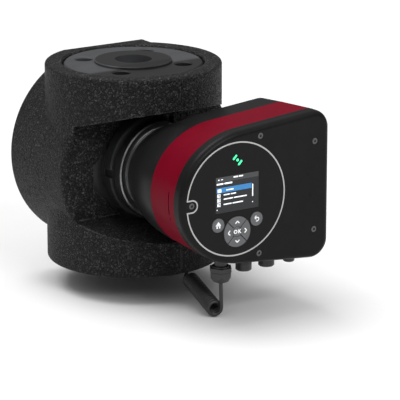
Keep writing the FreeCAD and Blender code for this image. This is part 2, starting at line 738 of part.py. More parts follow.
def stator():
    """Laminated stack with open slots, and the winding that runs through them."""
    back, front = S.stack_back.value, (S.stack_back + S.stack_length).value
    ring = Part.makeCylinder(S.stack_radius.value, front - back, V(0, -back, 0), FORWARD)
    ring = ring.cut(Part.makeCylinder(S.can_radius.value + 0.1, front - back, V(0, -back, 0), FORWARD))
    ring = ring.cut(Part.makeCompound(slot_bars(S.slot_width.value, back - 1, front + 1, 0)))
    core = doc.addObject("Part::Feature", "stator_core")
    core.Shape = raised(ring)
    keep(core, "stator_core")
    rise = S.winding_rise.value
    coils = None
    for low, high in ((back - rise, back - 0.3), (front + 0.3, front + rise)):
        end = Part.makeCylinder(S.slot_out.value - 0.3, high - low, V(0, -low, 0), FORWARD)
        end = end.cut(Part.makeCylinder(S.slot_in.value + 0.3, high - low, V(0, -low, 0), FORWARD))
        coils = end if coils is None else coils.fuse(end)
    coils = coils.fuse(slot_bars(S.slot_width.value - 0.8, back - rise, front + rise, -0.4))
    winding = doc.addObject("Part::Feature", "stator_coils")
    winding.Shape = raised(coils)
    keep(winding, "stator_coils")
    wall = S.motor_shell_radius - 3
    front_face = S.motor_shell_front
    back_face = S.joint_depth + 2
    body = new_body("stator_housing")
    profile = [
        (back_face, wall), (back_face, S.spigot_radius), (back_face + 3.5, S.spigot_radius),
        (back_face + 3.5, S.motor_shell_radius), (front_face, S.motor_shell_radius), (front_face, 8),
        (front_face - 3, 8), (front_face - 3, wall)]
    add_turn(body, polygon(new_sketch(body, "YZ_Plane"), depth_points(profile)))
    cut_through(body, front_face - 4, front_face + 1,
                lambda sketch: [circle(sketch, side * 36, 0, 2) for side in (-1, 1)])
    keep(body)


def clamp():
    """The split vee band that holds motor and can against the housing, with its two ears."""
    body = new_body("clamp_ring")
    back, front, thick = S.clamp_back, S.clamp_front, S.clamp_thick
    outer = S.clamp_radius
    profile = [
        (back, S.spigot_neck + 0.3), (back + thick, S.spigot_neck + 0.3), (back + thick, outer - thick),
        (front - thick, outer - thick), (front - thick, S.motor_shell_radius + 0.5),
        (front, S.motor_shell_radius + 0.5), (front, outer - 1), (front - 1, outer),
        (back + 1, outer), (back, outer - 1)]
    add_turn(body, polygon(new_sketch(body, "YZ_Plane"), depth_points(profile)))
    middle = (back + front) / 2
    for side in (-1, 1):
        grow(body, middle - 5, middle + 5, lambda sketch: rectangle(
            sketch, S.ear_apart * side, outer + 4, S.ear_thick, 11))
    cut_through(body, back - 1, front + 1, lambda sketch: rectangle(sketch, 0, outer + 3, 6, 24))
    hole = new_sketch(body, "YZ_Plane", 10)
    circle(hole, -middle, outer + S.lug_rise, 2.5)
    add_pocket(body, hole, 20)
    body.Placement.Rotation = FreeCAD.Rotation(V(0, 1, 0), 90 - S.lug_angle.value)
    keep(body)
    axis = V(1, 0, 0)
    height = (outer + S.lug_rise).value
    screw = stepped(V(-9, -middle.value, height), axis, [(4, 3.4), (2.4, 17)])
    nut = hexagon(8, 4, V(5.5, -middle.value, height), axis).fuse(screw)
    nut.rotate(V(0, 0, 0), V(0, 1, 0), 90 - S.lug_angle.value)
    group("clamp_screw", [raised(nut)])


# ---------------------------------------------------------------- control box

def box_outline(sketch, left, high, right, shrink=0):
    """The head's outline: round about the shaft on the left, flaring to a blunt box on the right."""
    left, high, right = as_size(left) - shrink, as_size(high) - shrink, as_size(right) - shrink
    blend, corner = S.box_blend - shrink, S.box_corner - shrink
    rake = math.radians(S.box_rake.value)
    normal = math.pi / 2 + rake
    centre = (right - corner, high - corner)
    reach = (centre[0].value * math.cos(normal) + centre[1].value * math.sin(normal)) + corner.value
    spread = normal + math.acos((blend.value - reach) / (blend - left).value)
    hub = V(math.cos(spread), math.sin(spread), 0) * -(blend - left).value

    def on_arc(middle, radius, angle, flip):
        return V(middle.x + radius * math.cos(angle), flip * (middle.y + radius * math.sin(angle)), 0)

    def arc(middle, radius, start, end):
        around = Part.Circle(middle, V(0, 0, 1), as_size(radius).value)
        index = sketch.addGeometry(Part.ArcOfCircle(around, start, end), False)
        number = sketch.addConstraint(Sketcher.Constraint("Radius", index, as_size(radius).value))
        sketch.setExpression("Constraints[%d]" % number, as_size(radius).text)
        return index

    def line(start, end, turn=0):
        index = sketch.addGeometry(Part.LineSegment(start, end), False)
        if turn:
            number = sketch.addConstraint(Sketcher.Constraint("Angle", index, turn * rake))
            sketch.setExpression("Constraints[%d]" % number, "%d * Sizes.box_rake * 1 deg" % turn)
        return index

    knob = V(centre[0].value, centre[1].value, 0)
    top_left, top_right = on_arc(hub, blend.value, normal, 1), on_arc(knob, corner.value, normal, 1)
    low_left, low_right = on_arc(hub, blend.value, normal, -1), on_arc(knob, corner.value, normal, -1)
    nose = arc(V(0, 0, 0), left, spread, 2 * math.pi - spread)
    upper = arc(hub, blend, normal, spread)
    top = line(top_left, top_right, 1)
    high_corner = arc(knob, corner, 0, normal)
    side = line(V(right.value, knob.y, 0), V(right.value, -knob.y, 0))
    low_corner = arc(V(knob.x, -knob.y, 0), corner, -normal, 0)
    bottom = line(low_left, low_right, -1)
    lower = arc(V(hub.x, -hub.y, 0), blend, -spread, -normal)
    for joint in ((nose, 1, upper, 2), (upper, 1, top, 1), (top, 2, high_corner, 2),
                  (high_corner, 1, side, 1), (side, 2, low_corner, 2), (low_corner, 1, bottom, 2),
                  (bottom, 1, lower, 2), (lower, 1, nose, 2)):
        sketch.addConstraint(Sketcher.Constraint("Tangent", *joint))
    pin(sketch, nose, 3, 0, 0)
    pin(sketch, high_corner, 3, *centre)
    pin(sketch, low_corner, 3, centre[0], -centre[1])
    return sketch


def head_section(body, depth, part, shrink=0):
    """The head's outline at one depth: its rear end, the back of the colour band or its front."""
    sizes = {
        "rear": (S.left_back, S.box_high - S.draft_back, S.box_right - S.draft_back),
        "band": (S.box_left - S.draft_band, S.box_high - S.draft_band, S.box_right - S.draft_band),
        "front": (S.box_left, S.box_high, S.box_right),
    }
    return box_outline(new_sketch(body, "XZ_Plane", depth), *sizes[part], shrink)


def loft(body, first, second, cut=False):
    kind = "PartDesign::SubtractiveLoft" if cut else "PartDesign::AdditiveLoft"
    thing = body.newObject(kind, body.Name + "_loft")
    thing.Profile = (first, [""])
    thing.Sections = [(second, [""])]
    body.Tip = thing
    return thing


def band_form(name, slack=0):
    """The tapering hoop between the base and the cover, as a hollow wall."""
    body = new_body(name)
    back, front = S.band_back + slack, S.band_front - slack
    loft(body, head_section(body, back, "band"), head_section(body, front, "front"))
    loft(body, head_section(body, back, "band", S.wall), head_section(body, front, "front", S.wall), True)
    return body


def entry_region(name, gap):
    """The part of the hoop, underneath, that belongs to the base and carries the cable entries."""
    return block(name, (S.ledge_left - gap, -S.band_front - 1, -100),
                 (S.ledge_right + gap, -S.band_back + 1, S.ledge_top + gap))


def screw_places():
    """The five cover screws: (x, z) in the shaft frame."""
    return [(30.3, 62.7), (99.1, 47.5), (-54, 0.4), (29.4, -63), (99, -48)]


def entry_places():
    return [S.entry_first + S.entry_pitch * k for k in range(4)]


def skirt_profile(sketch, shrink, back, front, to_axis=True):
    """The flared skirt round the motor: one long arc from its rear rim to the colour band."""
    back, front = as_size(back), as_size(front)
    rear, face = S.skirt_radius - shrink, S.box_left - S.draft_band - shrink
    start, end = V(-back.value, rear.value, 0), V(-front.value, face.value, 0)
    chord = end - start
    away = math.sqrt(S.skirt_bulge.value ** 2 - (chord.Length / 2) ** 2)
    centre = (start + end) / 2 + V(-chord.y, chord.x, 0) / chord.Length * away
    around = Part.Circle(centre, V(0, 0, 1), S.skirt_bulge.value)
    ends = sorted(math.atan2((p - centre).y, (p - centre).x) for p in (start, end))
    curve = sketch.addGeometry(Part.ArcOfCircle(around, *ends), False)
    number = sketch.addConstraint(Sketcher.Constraint("Radius", curve, S.skirt_bulge.value))
    sketch.setExpression("Constraints[%d]" % number, S.skirt_bulge.text)
    pin(sketch, curve, 1, -back, rear)
    pin(sketch, curve, 2, -front, face)
    corners = [start, V(-back.value, 0, 0), V(-front.value, 0, 0), end]
    for first, second in zip(corners, corners[1:]):
        sketch.addGeometry(Part.LineSegment(first, second), False)
    for joint in ((curve, 1, curve + 1, 1), (curve + 1, 2, curve + 2, 1), (curve + 2, 2, curve + 3, 1),
                  (curve + 3, 2, curve, 2)):
        sketch.addConstraint(Sketcher.Constraint("Coincident", *joint))
    pin(sketch, curve + 1, 2, -back, 0)
    pin(sketch, curve + 2, 2, -front, 0)
    return sketch


def screw_post(name, x, z, back, front):
    """The round post that one cover screw drives into, a little inboard where the wall is close."""
    inboard = 0 if x > 0 else S.post_inboard
    return rod(name, S.post_radius, as_size(front) - back, (x + inboard, -as_size(back), z), FORWARD)


def control_box_base():
    """The moulded rear half: a flared skirt round the motor that grows into the terminal box."""
    skirt = new_body("skirt_form")
    add_turn(skirt, skirt_profile(new_sketch(skirt, "YZ_Plane"), 0, S.skirt_back, S.band_back))
    box = new_body("box_form")
    loft(box, head_section(box, S.box_back, "rear"), head_section(box, S.band_back, "band"))
    round_body(box, S.rear_edge, at_depth(S.box_back))
    room = new_body("box_room")
    loft(room, head_section(room, S.box_back + S.wall, "rear", S.wall),
         head_section(room, S.band_back, "band", S.wall))
    floor = S.motor_shell_front + 0.3
    floor_thick = 2.5
    motor_room = rod("motor_room", S.motor_shell_radius + 0.4, floor - S.skirt_back,
                     (0, -S.skirt_back, 0), FORWARD)
    outside = combine("Fuse", "base_outside", skirt, box)
    shell = combine("Cut", "base_shell", outside, room, motor_room)
    solids = [shell, rod("motor_floor", S.motor_shell_radius + 13, floor_thick, (0, -floor, 0), FORWARD),
              combine("Common", "entry_ledge", band_form("ledge_hoop"), entry_region("ledge_region", 0))]
    post_front = S.band_front - 6
    for x, z in screw_places():
        solids.append(screw_post("base_post", x, z, S.box_back + 1 if x > 0 else floor + 1, post_front))
    holes = [rod("entry_hole", 7, 30, (x, -S.entry_depth, -90), UP) for x in entry_places()]
    holes += [rod("screw_pilot", 1.7, 60, (x, -S.band_front - 1, z), -FORWARD) for x, z in screw_places()]
    holes += [rod("motor_screw_hole", 2.3, 10, (36 * a, -floor - 6, 0), -FORWARD) for a in (-1, 1)]
    keep(combine("Cut", "base_cut", combine("Fuse", "base_solid", *solids), *holes), "control_box_base")


def colour_band():
    hoop = band_form("hoop", 0.15)
    slit = block("vent_slit", (-80, -S.slit_depth - 0.8, -12.5), (-S.box_left + 8, -S.slit_depth + 0.8, 11.5))
    pin_hole = rod("vent_dot", 0.9, 12, (-70, -S.slit_depth, -17.5), RIGHT)
    keep(combine("Cut", "band_cut", hoop, entry_region("band_region", 0.3), slit, pin_hole), "colour_band")


# ---------------------------------------------------------------- front cover and panel

def ring_region(name, back, front, shrink):
    """The round panel area less the bay round its left screw, as a plate."""
    depth = as_size(front) - back
    disc = rod(name + "_disc", S.ring_radius - shrink, depth, (0, -as_size(back), 0), FORWARD)
    bay = rod(name + "_bay", S.notch_radius + shrink, depth, (S.notch_x, -as_size(back), 0), FORWARD)
    way = block(name + "_way", (-80, -as_size(front), -S.notch_radius - shrink),
                (S.notch_x, -as_size(back), S.notch_radius + shrink))
    return combine("Cut", name, disc, bay, way)


def key_openings(name, back, front, slack):
    """Everything that comes through the cover inside the ring: the keys and the display."""
    depth = as_size(front) - back
    start = -as_size(back)
    tools = [rod(name + "_nav", S.nav_radius + slack, depth, (S.nav_x, start, S.nav_z), FORWARD)]
    for side in (-1, 1):
        tools.append(rod(name + "_key", S.side_key_radius + slack, depth,
                         (S.window_x + S.side_key_x * side, start, S.side_key_z), FORWARD))
    half_wide, half_tall = S.window_wide / 2 + slack, S.window_tall / 2 + slack
    tools.append(block(name + "_window", (S.window_x - half_wide, -as_size(front), S.window_z - half_tall),
                       (S.window_x + half_wide, start, S.window_z + half_tall)))
    return tools


def light_shapes(start, length, grow_by=0.0):
    """The status light: a dot between two short rounded bars on a falling diagonal."""
    lights = []
    centre = V(S.light_x.value, start, S.light_z.value)
    lights.append(Part.makeCylinder(1.5 + grow_by, length, centre, FORWARD))
    for side in (-1, 1):
        middle = centre + V(-3.2, 0, 3.2) * side
        along = V(1, 0, 1) / math.sqrt(2)
        ends = [middle - along * 2.2, middle + along * 2.2]
        bar = Part.makeBox(4.4, 2 * (1.1 + grow_by), length)
        bar.Placement = FreeCAD.Placement(V(-2.2, -1.1 - grow_by, 0), FreeCAD.Rotation())
        bar.Placement = FreeCAD.Placement(middle, FreeCAD.Rotation(along, V(0, 0, 0), FORWARD, "XZY")) \
            .multiply(bar.Placement)
        caps = [Part.makeCylinder(1.1 + grow_by, length, end, FORWARD) for end in ends]
        lights.append(bar.fuse(caps).removeSplitter())
    return lights


def front_cover():
    body = new_body("cover_form")
    loft(body, head_section(body, S.band_front, "front"), head_section(body, S.panel_depth, "front"))
    round_body(body, S.cover_round, at_depth(S.panel_depth))
    loft(body, head_section(body, S.band_front, "front", S.wall),
         head_section(body, S.panel_depth - S.cover_wall, "front", S.wall + 2), True)
    posts = [screw_post("cover_post", x, z, S.band_front - 5.7, S.panel_depth - S.cover_wall + 0.5)
             for x, z in screw_places()]
    light_hole = doc.addObject("Part::Feature", "light_holes")
    light_hole.Shape = raised(Part.makeCompound(light_shapes(-S.panel_depth.value + 8, 9, 0.05)))
    tools = key_openings("cover", S.panel_depth - 8, S.panel_depth + 1, 0.3)
    tools += [rod("screw_seat", 3.5, 4, (x, -S.panel_depth + 2.7, z), FORWARD) for x, z in screw_places()]
    tools += [rod("screw_way", 2, 40, (x, -S.panel_depth - 1, z), -FORWARD) for x, z in screw_places()]
    tools.append(ring_region("panel_recess", S.panel_depth - S.panel_thick, S.panel_depth + 1, 0))
    solid = combine("Fuse", "cover_solid", body, *posts)
    keep(combine("Cut", "cover_cut", solid, light_hole, *tools), "front_cover")


def panel():
    """The printed disc, its bright ring, the glass and the light guides."""
    back, front = S.panel_depth - S.panel_thick, S.panel_depth
    disc = ring_region("disc_form", back, front, S.ring_width)
    holes = doc.addObject("Part::Feature", "disc_light_holes")
    holes.Shape = raised(Part.makeCompound(light_shapes(-S.panel_depth.value + 8, 9, 0.05)))
    keep(combine("Cut", "disc_cut", disc, holes, *key_openings("disc", back - 1, front + 1, 0.3)),
         "panel_disc")
    outer = ring_region("ring_outer", back, front + 0.15, 0)
    inner = ring_region("ring_inner", back - 1, front + 1, S.ring_width)
    keep(combine("Cut", "ring_cut", outer, inner), "panel_ring")
    half_wide, half_tall = S.window_wide / 2, S.window_tall / 2
    low, high = S.window_z - half_tall, S.window_z + half_tall
    keep(block("display_glass", (S.window_x - half_wide, -front + 0.1, low),
               (S.window_x + half_wide, -front + 1.8, high)), "display_glass")
    keep(block("display_module", (S.window_x - half_wide + 1, -front + 1.9, low + 1),
               (S.window_x + half_wide - 1, -front + 9, high - 1)), "display_module")
    group("status_lights", [raised(s) for s in light_shapes(-S.panel_depth.value + 7, 7)])


def keys():
    """Seven push keys: two round ones and the cross of five that make up the pad."""
    back, front = S.panel_depth - 4.4, S.panel_depth + S.key_proud
    for name, side in (("home_key", -1), ("back_key", 1)):
        body = new_body(name)
        x = S.window_x + S.side_key_x * side
        grow(body, back, front, lambda sketch: circle(sketch, x, S.side_key_z, S.side_key_radius))
        round_body(body, 0.5, at_depth(front))
        keep(body)
    body = new_body("ok_key")
    grow(body, back, front, lambda sketch: circle(sketch, S.nav_x, S.nav_z, S.ok_radius))
    round_body(body, 0.4, at_depth(front))
    keep(body)
    for name, angle in (("right_key", 0), ("up_key", 90), ("left_key", 180), ("down_key", 270)):
        body = new_body(name)
        grow(body, back, front, lambda sketch: quadrant(sketch, math.radians(angle)))
        round_body(body, 0.35, at_depth(front))
        keep(body)


def quadrant(sketch, middle):
    """A quarter of the pad between the middle key and the rim."""
    gap = 0.35
    radii = (S.ok_radius.value + gap, S.nav_radius.value)
    turns = [math.pi / 4 - gap / radius for radius in radii]
    centre = V(S.nav_x.value, S.nav_z.value, 0)

    def place(radius, angle):
        return centre + V(radius * math.cos(angle), radius * math.sin(angle), 0)

    inner = [place(radii[0], middle + turn) for turn in (-turns[0], 0, turns[0])]
    outer = [place(radii[1], middle + turn) for turn in (-turns[1], 0, turns[1])]
    sketch.addGeometry(Part.Arc(*inner), False)
    sketch.addGeometry(Part.LineSegment(inner[2], outer[2]), False)
    sketch.addGeometry(Part.Arc(*outer), False)
    sketch.addGeometry(Part.LineSegment(outer[0], inner[0]), False)


def electronics():
    """Boards and parts inside the head."""
    front = S.panel_depth
    mat = new_body("key_mat")
    grow(mat, front - 8, front - 5.4, lambda sketch: rectangle(sketch, S.window_x, -29, 66, 26))
    for x, z in ((S.window_x - S.side_key_x, S.side_key_z), (S.window_x + S.side_key_x, S.side_key_z),
                 (S.nav_x, S.nav_z)):
        cut_through(mat, front - 8.1, front - 7, lambda sketch: circle(sketch, x, z, 3))
    keep(mat)
    board = new_body("control_board")
    grow(board, front - 13, front - 11.4, lambda sketch: rectangle(sketch, 14, -2, 106, 92))
    for x, z in screw_places():
        cut_through(board, front - 14, front - 11, lambda sketch: circle(sketch, x, z, 6))
    keep(board)
    power = new_body("power_board")
    grow(power, 150, 151.6, lambda sketch: rectangle(sketch, 24, 4, 110, 96))
    for x, z in screw_places():
        cut_through(power, 149, 153, lambda sketch: circle(sketch, x, z, 6))
    keep(power)
    places = [(70, 20), (70, -6), (45, 20), (45, -6)]
    group("board_capacitors", [Part.makeCylinder(9, 22, at_shaft(x, 151.6, z), FORWARD) for x, z in places])
    choke = Part.makeTorus(11, 5, at_shaft(5, 157, 10), FORWARD)
    group("power_choke", [choke])
    sink = new_body("heat_sink")
    grow(sink, 140, 143, lambda sketch: rectangle(sketch, 77, 0, 50, 70))
    for k in range(7):
        grow(sink, 125.5, 140.5, lambda sketch: rectangle(sketch, 77, -30 + 10 * k, 50, 2.4))
    keep(sink)
    terminals = new_body("terminal_block")
    grow(terminals, 151.6, 166, lambda sketch: rectangle(sketch, 45, -38, 60, 11))
    for k in range(6):
        cut_through(terminals, 160, 167, lambda sketch: circle(sketch, 20 + 10 * k, -38, 2.6))
    keep(terminals)


def gasket():
    """The seal that lies inside the joint between the band and the cover."""
    body = new_body("cover_gasket")
    grow(body, S.band_front - 1.5, S.band_front + 1.5,
         lambda sketch: box_outline(sketch, S.box_left, S.box_high, S.box_right, S.wall + 0.5))
    cut_through(body, S.band_front - 2, S.band_front + 2,
                lambda sketch: box_outline(sketch, S.box_left, S.box_high, S.box_right, S.wall + 1.9))
    keep(body)


def fasteners():
    screws = []
    for x, z in screw_places():
        start = at_shaft(x, S.panel_depth - 0.5, z)
        screw = stepped(start, -FORWARD, [(3.2, 2.2), (1.65, 40)])
        socket = hexagon(2.6, 1.4, start, -FORWARD)
        screws.append(screw.cut(socket))
    group("cover_screws", screws)
    floor = S.motor_shell_front + 2.8
    group("motor_screws", [stepped(at_shaft(36 * a, floor + 3, 0), -FORWARD, [(3.8, 3), (1.9, 8)])
                           for a in (-1, 1)])


# ---------------------------------------------------------------- cable entries and sensor

def upright(name, x, y, profile, write=True):
    """A piece turned about a vertical line, from its (radius, height) profile in the shaft frame."""
    body = new_body(name)
    add_turn(body, polygon(new_sketch(body, "XZ_Plane"), profile), "V_Axis")
    body.setExpression("Placement.Base.x", as_size(x).text)
    body.setExpression("Placement.Base.y", as_size(y).text)
    return keep(body) if write else body


def with_hexagon(body, across, low, high):
    """Add a hexagonal collar between two heights of an upright piece."""
    corner = as_size(across) / math.sqrt(3)
    sketch = new_sketch(body, "XY_Plane", low)
    turns = [k * math.pi / 3 for k in range(6)]
    polygon(sketch, [(corner * math.cos(turn), corner * math.sin(turn)) for turn in turns])
    add_pad(body, sketch, as_size(high) - low)


def entries():
    """The gland of the sensor lead, two screw plugs and a small vent plug, with their seals."""
    places, y = entry_places(), -S.entry_depth
    bore = S.lead_radius + 0.2
    wall_face, seal_face = S.entry_face, S.entry_face - 1.5
    collar_low = seal_face - 5
    body = upright("gland_body", places[0], y, [
        (bore, collar_low), (bore, wall_face + 12), (6.8, wall_face + 12), (6.8, seal_face),
        (10, seal_face), (10, collar_low)], False)
    with_hexagon(body, 22, collar_low + 0.5, seal_face)
    bore_sketch = circle(new_sketch(body, "XY_Plane", seal_face + 1), 0, 0, bore)
    add_pocket(body, bore_sketch, 8)
    keep(body)
    gland_nut(places[0], y, bore, collar_low)
    rings = []
    screwed = (10, S.plug_radius.value, S.plug_radius.value, S.small_plug_radius.value)
    for place, outer in zip(places, screwed):
        middle = V(as_size(place).value, as_size(y).value, seal_face.value + S.shaft_height.value)
        seal = Part.makeCylinder(outer - 0.5, 1.5, middle).cut(Part.makeCylinder(6.9, 1.5, middle))
        if outer > 8:
            rings.append(seal)
    group("plug_seals", rings)
    plugs = []
    edge = S.plug_edge.value
    for place in places[1:3]:
        middle = V(place.value, as_size(y).value, S.plug_low.value + S.shaft_height.value)
        head = (seal_face - S.plug_low).value
        eased = Part.makeCone(S.plug_radius.value - edge, S.plug_radius.value, edge, middle, UP)
        plug = stepped(middle + UP * edge, UP, [(S.plug_radius.value, head - edge), (6.8, 13)])
        plugs.append(plug.fuse(eased).cut(hexagon(8, 3, middle, UP)))
    group("blanking_plugs", plugs)
    upright("vent_plug", places[3], y, [
        (0, S.plug_low), (S.small_plug_radius - 1, S.plug_low), (S.small_plug_radius, S.plug_low + 1),
        (S.small_plug_radius, wall_face), (6, wall_face), (6, wall_face + 9), (0, wall_face + 9)])


def gland_nut(x, y, bore, high):
    """The gland's cap nut: six flats whose corners run into a domed lower end."""
    low, corner = S.gland_low, S.gland_flats / math.sqrt(3)
    body = upright("gland_nut", x, y, [
        (bore, low), (6, low), (8.4, low + 1.2), (corner - 1.6, low + 4.4), (corner - 0.2, low + 8.2),
        (corner, high), (bore, high)], False)
    hexagonal = new_sketch(body, "XY_Plane", high + 1)
    circle(hexagonal, 0, 0, corner * 2)
    polygon(hexagonal, [(corner * math.cos(k * math.pi / 3), corner * math.sin(k * math.pi / 3))
                        for k in range(6)])
    add_pocket(body, hexagonal, high - low + 2)
    keep(body)


def sensor():
    """Combined pressure and temperature sensor screwed into the suction pipe, and its plug."""
    face = 35.6
    body = new_body("sensor")
    add_turn(body, polygon(new_sketch(body, "YZ_Plane"), depth_points([
        (20.6, 0), (20.6, 4.8), (face, 4.8), (face, 9.5), (face + 5, 9.5), (face + 5, 8), (face + 14, 8),
        (face + 14, 0)])))
    place_at_sensor(body)
    keep(body)
    seal = new_body("sensor_seal")
    add_turn(seal, polygon(new_sketch(seal, "YZ_Plane"), depth_points([
        (face - 1.6, 5), (face, 5), (face, 8.6), (face - 1.6, 8.6)])))
    place_at_sensor(seal)
    keep(seal)
    plug = new_body("sensor_plug")
    back = face + 14
    add_turn(plug, polygon(new_sketch(plug, "YZ_Plane"), depth_points([
        (back, 0), (back, 7.4), (back + 10, 7.4), (back + 14, 4), (back + 14, 0)])))
    place_at_sensor(plug)
    keep(plug)


def place_at_sensor(body):
    body.setExpression("Placement.Base.x", S.sensor_x.text)
    body.setExpression("Placement.Base.z", (S.shaft_height + S.sensor_z).text)


def rounded_route(points, limit):
    """Straight runs joined by tangent arcs, each as large as its two runs allow."""
    edges, at = [], points[0]
    for before, corner, after in zip(points, points[1:], points[2:]):
        into, out = (corner - before), (after - corner)
        turn = into.getAngle(out)
        radius = 0.45 * min(into.Length, out.Length) / math.tan(turn / 2)
        print("route radius %.1f mm, turn %.0f degrees" % (radius, math.degrees(turn)))
        if radius < limit:
            print("  below %.1f mm" % limit)
        into.normalize()
        out.normalize()
        reach = radius * math.tan(turn / 2)
        start, end = corner - into * reach, corner + out * reach
        inward = (out - into).normalize()
        middle = corner + inward * (radius / math.cos(turn / 2) - radius)
        edges.append(Part.LineSegment(at, start).toShape())
        edges.append(Part.Arc(start, middle, end).toShape())
        at = end
    edges.append(Part.LineSegment(at, points[-1]).toShape())
    return Part.Wire(edges)


def cord(name, points, radius):
    """A round tube along a route in the shaft frame."""
    route = rounded_route([V(p) for p in points], radius * 10)
    direction = route.Edges[0].tangentAt(route.Edges[0].FirstParameter)
    section = Part.Wire(Part.makeCircle(radius, V(points[0]), direction))
    tube = route.makePipeShell([section], True, True)
    print("%s length %.1f mm, volume off by %.2f%%" % (
        name, route.Length, 100 * (tube.Volume / (math.pi * radius ** 2 * route.Length) - 1)))
    return group(name, [raised(tube)])


def sensor_lead():
    """The lead from the gland: straight down, a curly stretch, then up through the shell's channel."""
    lead = S.lead_radius.value
    front = V(S.coil_front_x.value, S.coil_front_y.value, S.coil_front_z.value)
    back = V(S.coil_back_x.value, S.coil_back_y.value, S.coil_back_z.value)
    top = V(S.entry_first.value, -S.entry_depth.value, S.gland_low.value + 6)
    cord("sensor_cable_lead", [top, V(5.4, -163.2, -104), V(5.0, -164.4, -114), V(4.9, -165.8, -124.5)], lead)
    axis = back - front
    print("curly stretch %.1f mm" % axis.Length)
    group("sensor_cable_coil", [raised(Part.makeCylinder(S.coil_radius.value, axis.Length, front, axis))])
    inner = V(S.sensor_x.value, -63.5, S.sensor_z.value)
    channel = V(S.lead_channel_x.value, S.lead_channel_y.value, 0)
    cord("sensor_cable_tail", [back + V(0, -2, 2), V(channel.x, channel.y, -108), V(channel.x, channel.y, -95),
                               V(channel.x - 2, -80.5, -83), V(12, -73, -78.5), inner], lead)


# ---------------------------------------------------------------- build and write

def check(things):
    """Stop on any failed feature or unsound sub-part."""
    failed = [thing.Label for thing in doc.Objects if "Invalid" in thing.State or "Error" in thing.State]
    if failed:
        raise RuntimeError("failed: " + ", ".join(failed))
    for thing in things:
        shape = thing.Shape
        if shape.isNull() or not shape.isValid() or not shape.Solids:
            raise RuntimeError("%s has no sound solid" % thing.Label)


def main():
    pump_housing()
    hydraulics()
    insulation()
    motor()
    clamp()
    control_box_base()
    colour_band()
    front_cover()
    panel()
    keys()
    electronics()
    gasket()
    fasteners()
    entries()
    sensor()
    sensor_lead()
    doc.recompute()
    check(nodes)
    os.makedirs("parts", exist_ok=True)
    for node in nodes:
        node.Shape.exportStep("parts/%s.step" % node.Label)
        box = node.Shape.BoundBox
        print("%-22s solids %d volume %9.0f  x %.1f..%.1f  y %.1f..%.1f  z %.1f..%.1f" % (
            node.Label, len(node.Shape.Solids), node.Shape.Volume, box.XMin, box.XMax, box.YMin, box.YMax,
            box.ZMin, box.ZMax))
    print(len(nodes), "nodes")


main()
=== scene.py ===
"""Finishes, key symbols, display, curly sensor lead and studio for a flanged circulator pump.

Everything is in metres in the pump's own frame: the origin is the centre of the lower flange's face,
+Z runs up the pipe, and the shaft runs forward along -Y at shaft height towards the control panel.
"""
import math

import bmesh
import bpy
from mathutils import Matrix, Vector


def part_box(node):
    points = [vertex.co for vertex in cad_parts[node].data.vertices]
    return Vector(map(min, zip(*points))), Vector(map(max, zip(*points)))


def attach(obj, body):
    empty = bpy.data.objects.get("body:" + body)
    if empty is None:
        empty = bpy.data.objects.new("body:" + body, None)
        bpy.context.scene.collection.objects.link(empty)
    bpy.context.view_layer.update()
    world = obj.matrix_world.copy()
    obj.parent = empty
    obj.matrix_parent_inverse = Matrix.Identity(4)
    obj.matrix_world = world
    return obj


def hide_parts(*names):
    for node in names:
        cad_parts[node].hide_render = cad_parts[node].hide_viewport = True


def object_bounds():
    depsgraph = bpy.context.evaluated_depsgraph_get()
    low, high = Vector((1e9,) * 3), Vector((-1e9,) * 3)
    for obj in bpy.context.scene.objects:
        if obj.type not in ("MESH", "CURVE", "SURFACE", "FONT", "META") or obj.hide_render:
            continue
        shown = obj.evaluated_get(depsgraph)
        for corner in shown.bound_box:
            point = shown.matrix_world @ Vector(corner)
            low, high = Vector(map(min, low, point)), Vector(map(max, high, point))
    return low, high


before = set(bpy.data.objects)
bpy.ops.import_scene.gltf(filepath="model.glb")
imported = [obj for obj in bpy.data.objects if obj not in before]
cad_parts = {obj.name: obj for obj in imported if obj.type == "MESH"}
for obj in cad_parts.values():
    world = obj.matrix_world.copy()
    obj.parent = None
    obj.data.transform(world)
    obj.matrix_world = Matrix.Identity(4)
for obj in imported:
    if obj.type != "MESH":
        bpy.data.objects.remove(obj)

bl_info = {
    "name": "Circulator pump dressing",
    "version": (1, 0, 0),
    "blender": (4, 5, 0),
    "location": "3D View > Sidebar > Pump",
    "description": "Finishes and small pieces for a wet-rotor circulator pump",
    "category": "Object",
}

MM = 0.001
SHAFT_HEIGHT = (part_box("panel_disc")[0].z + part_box("panel_disc")[1].z) / 2
GLASS_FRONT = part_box("display_glass")[0].y
KEY_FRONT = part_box("ok_key")[0].y
CAD_LOW, CAD_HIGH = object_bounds()
LEAD_NODES = ("sensor_cable_lead", "sensor_cable_coil", "sensor_cable_tail")

# Finishes, in millimetres: the painted shade on the shell round the motor, and its eased edges
PAINTED_SHADE_INNER, PAINTED_SHADE_OUTER = 50, 74
PAINTED_SHADE_BACK, PAINTED_SHADE_FRONT = 10, 24
EDGE_EASE = 6
FACE_RADIUS = 41.6
GROOVE_PITCH = 0.9
SHEET_PITCH = 0.5

# Printed marks, in metres
MARK_THICK = 0.0002
MARK_PROUD = 0.00006
ROW_THICK = 0.00008
ROW_PROUD = 0.00005
LETTER_SIZE = 0.0056
LETTER_HALF_THICK = 0.0001

# Studio
FLOOR_SIZE, FLOOR_GAP = 14, 0.0004
FILM_WIDTH, LENS = 36, 237.6


# ---------------------------------------------------------------- sizes and colours

def colour(name, text, value):
    return bpy.props.FloatVectorProperty(
        name=name, description=text, default=value, size=3, subtype="COLOR", min=0, max=1)


def length(name, text, value):
    return bpy.props.FloatProperty(
        name=name, description=text, default=value, subtype="DISTANCE", unit="LENGTH", min=0)


def share(name, text, value):
    return bpy.props.FloatProperty(
        name=name, description=text, default=value, subtype="FACTOR", min=0, max=1)


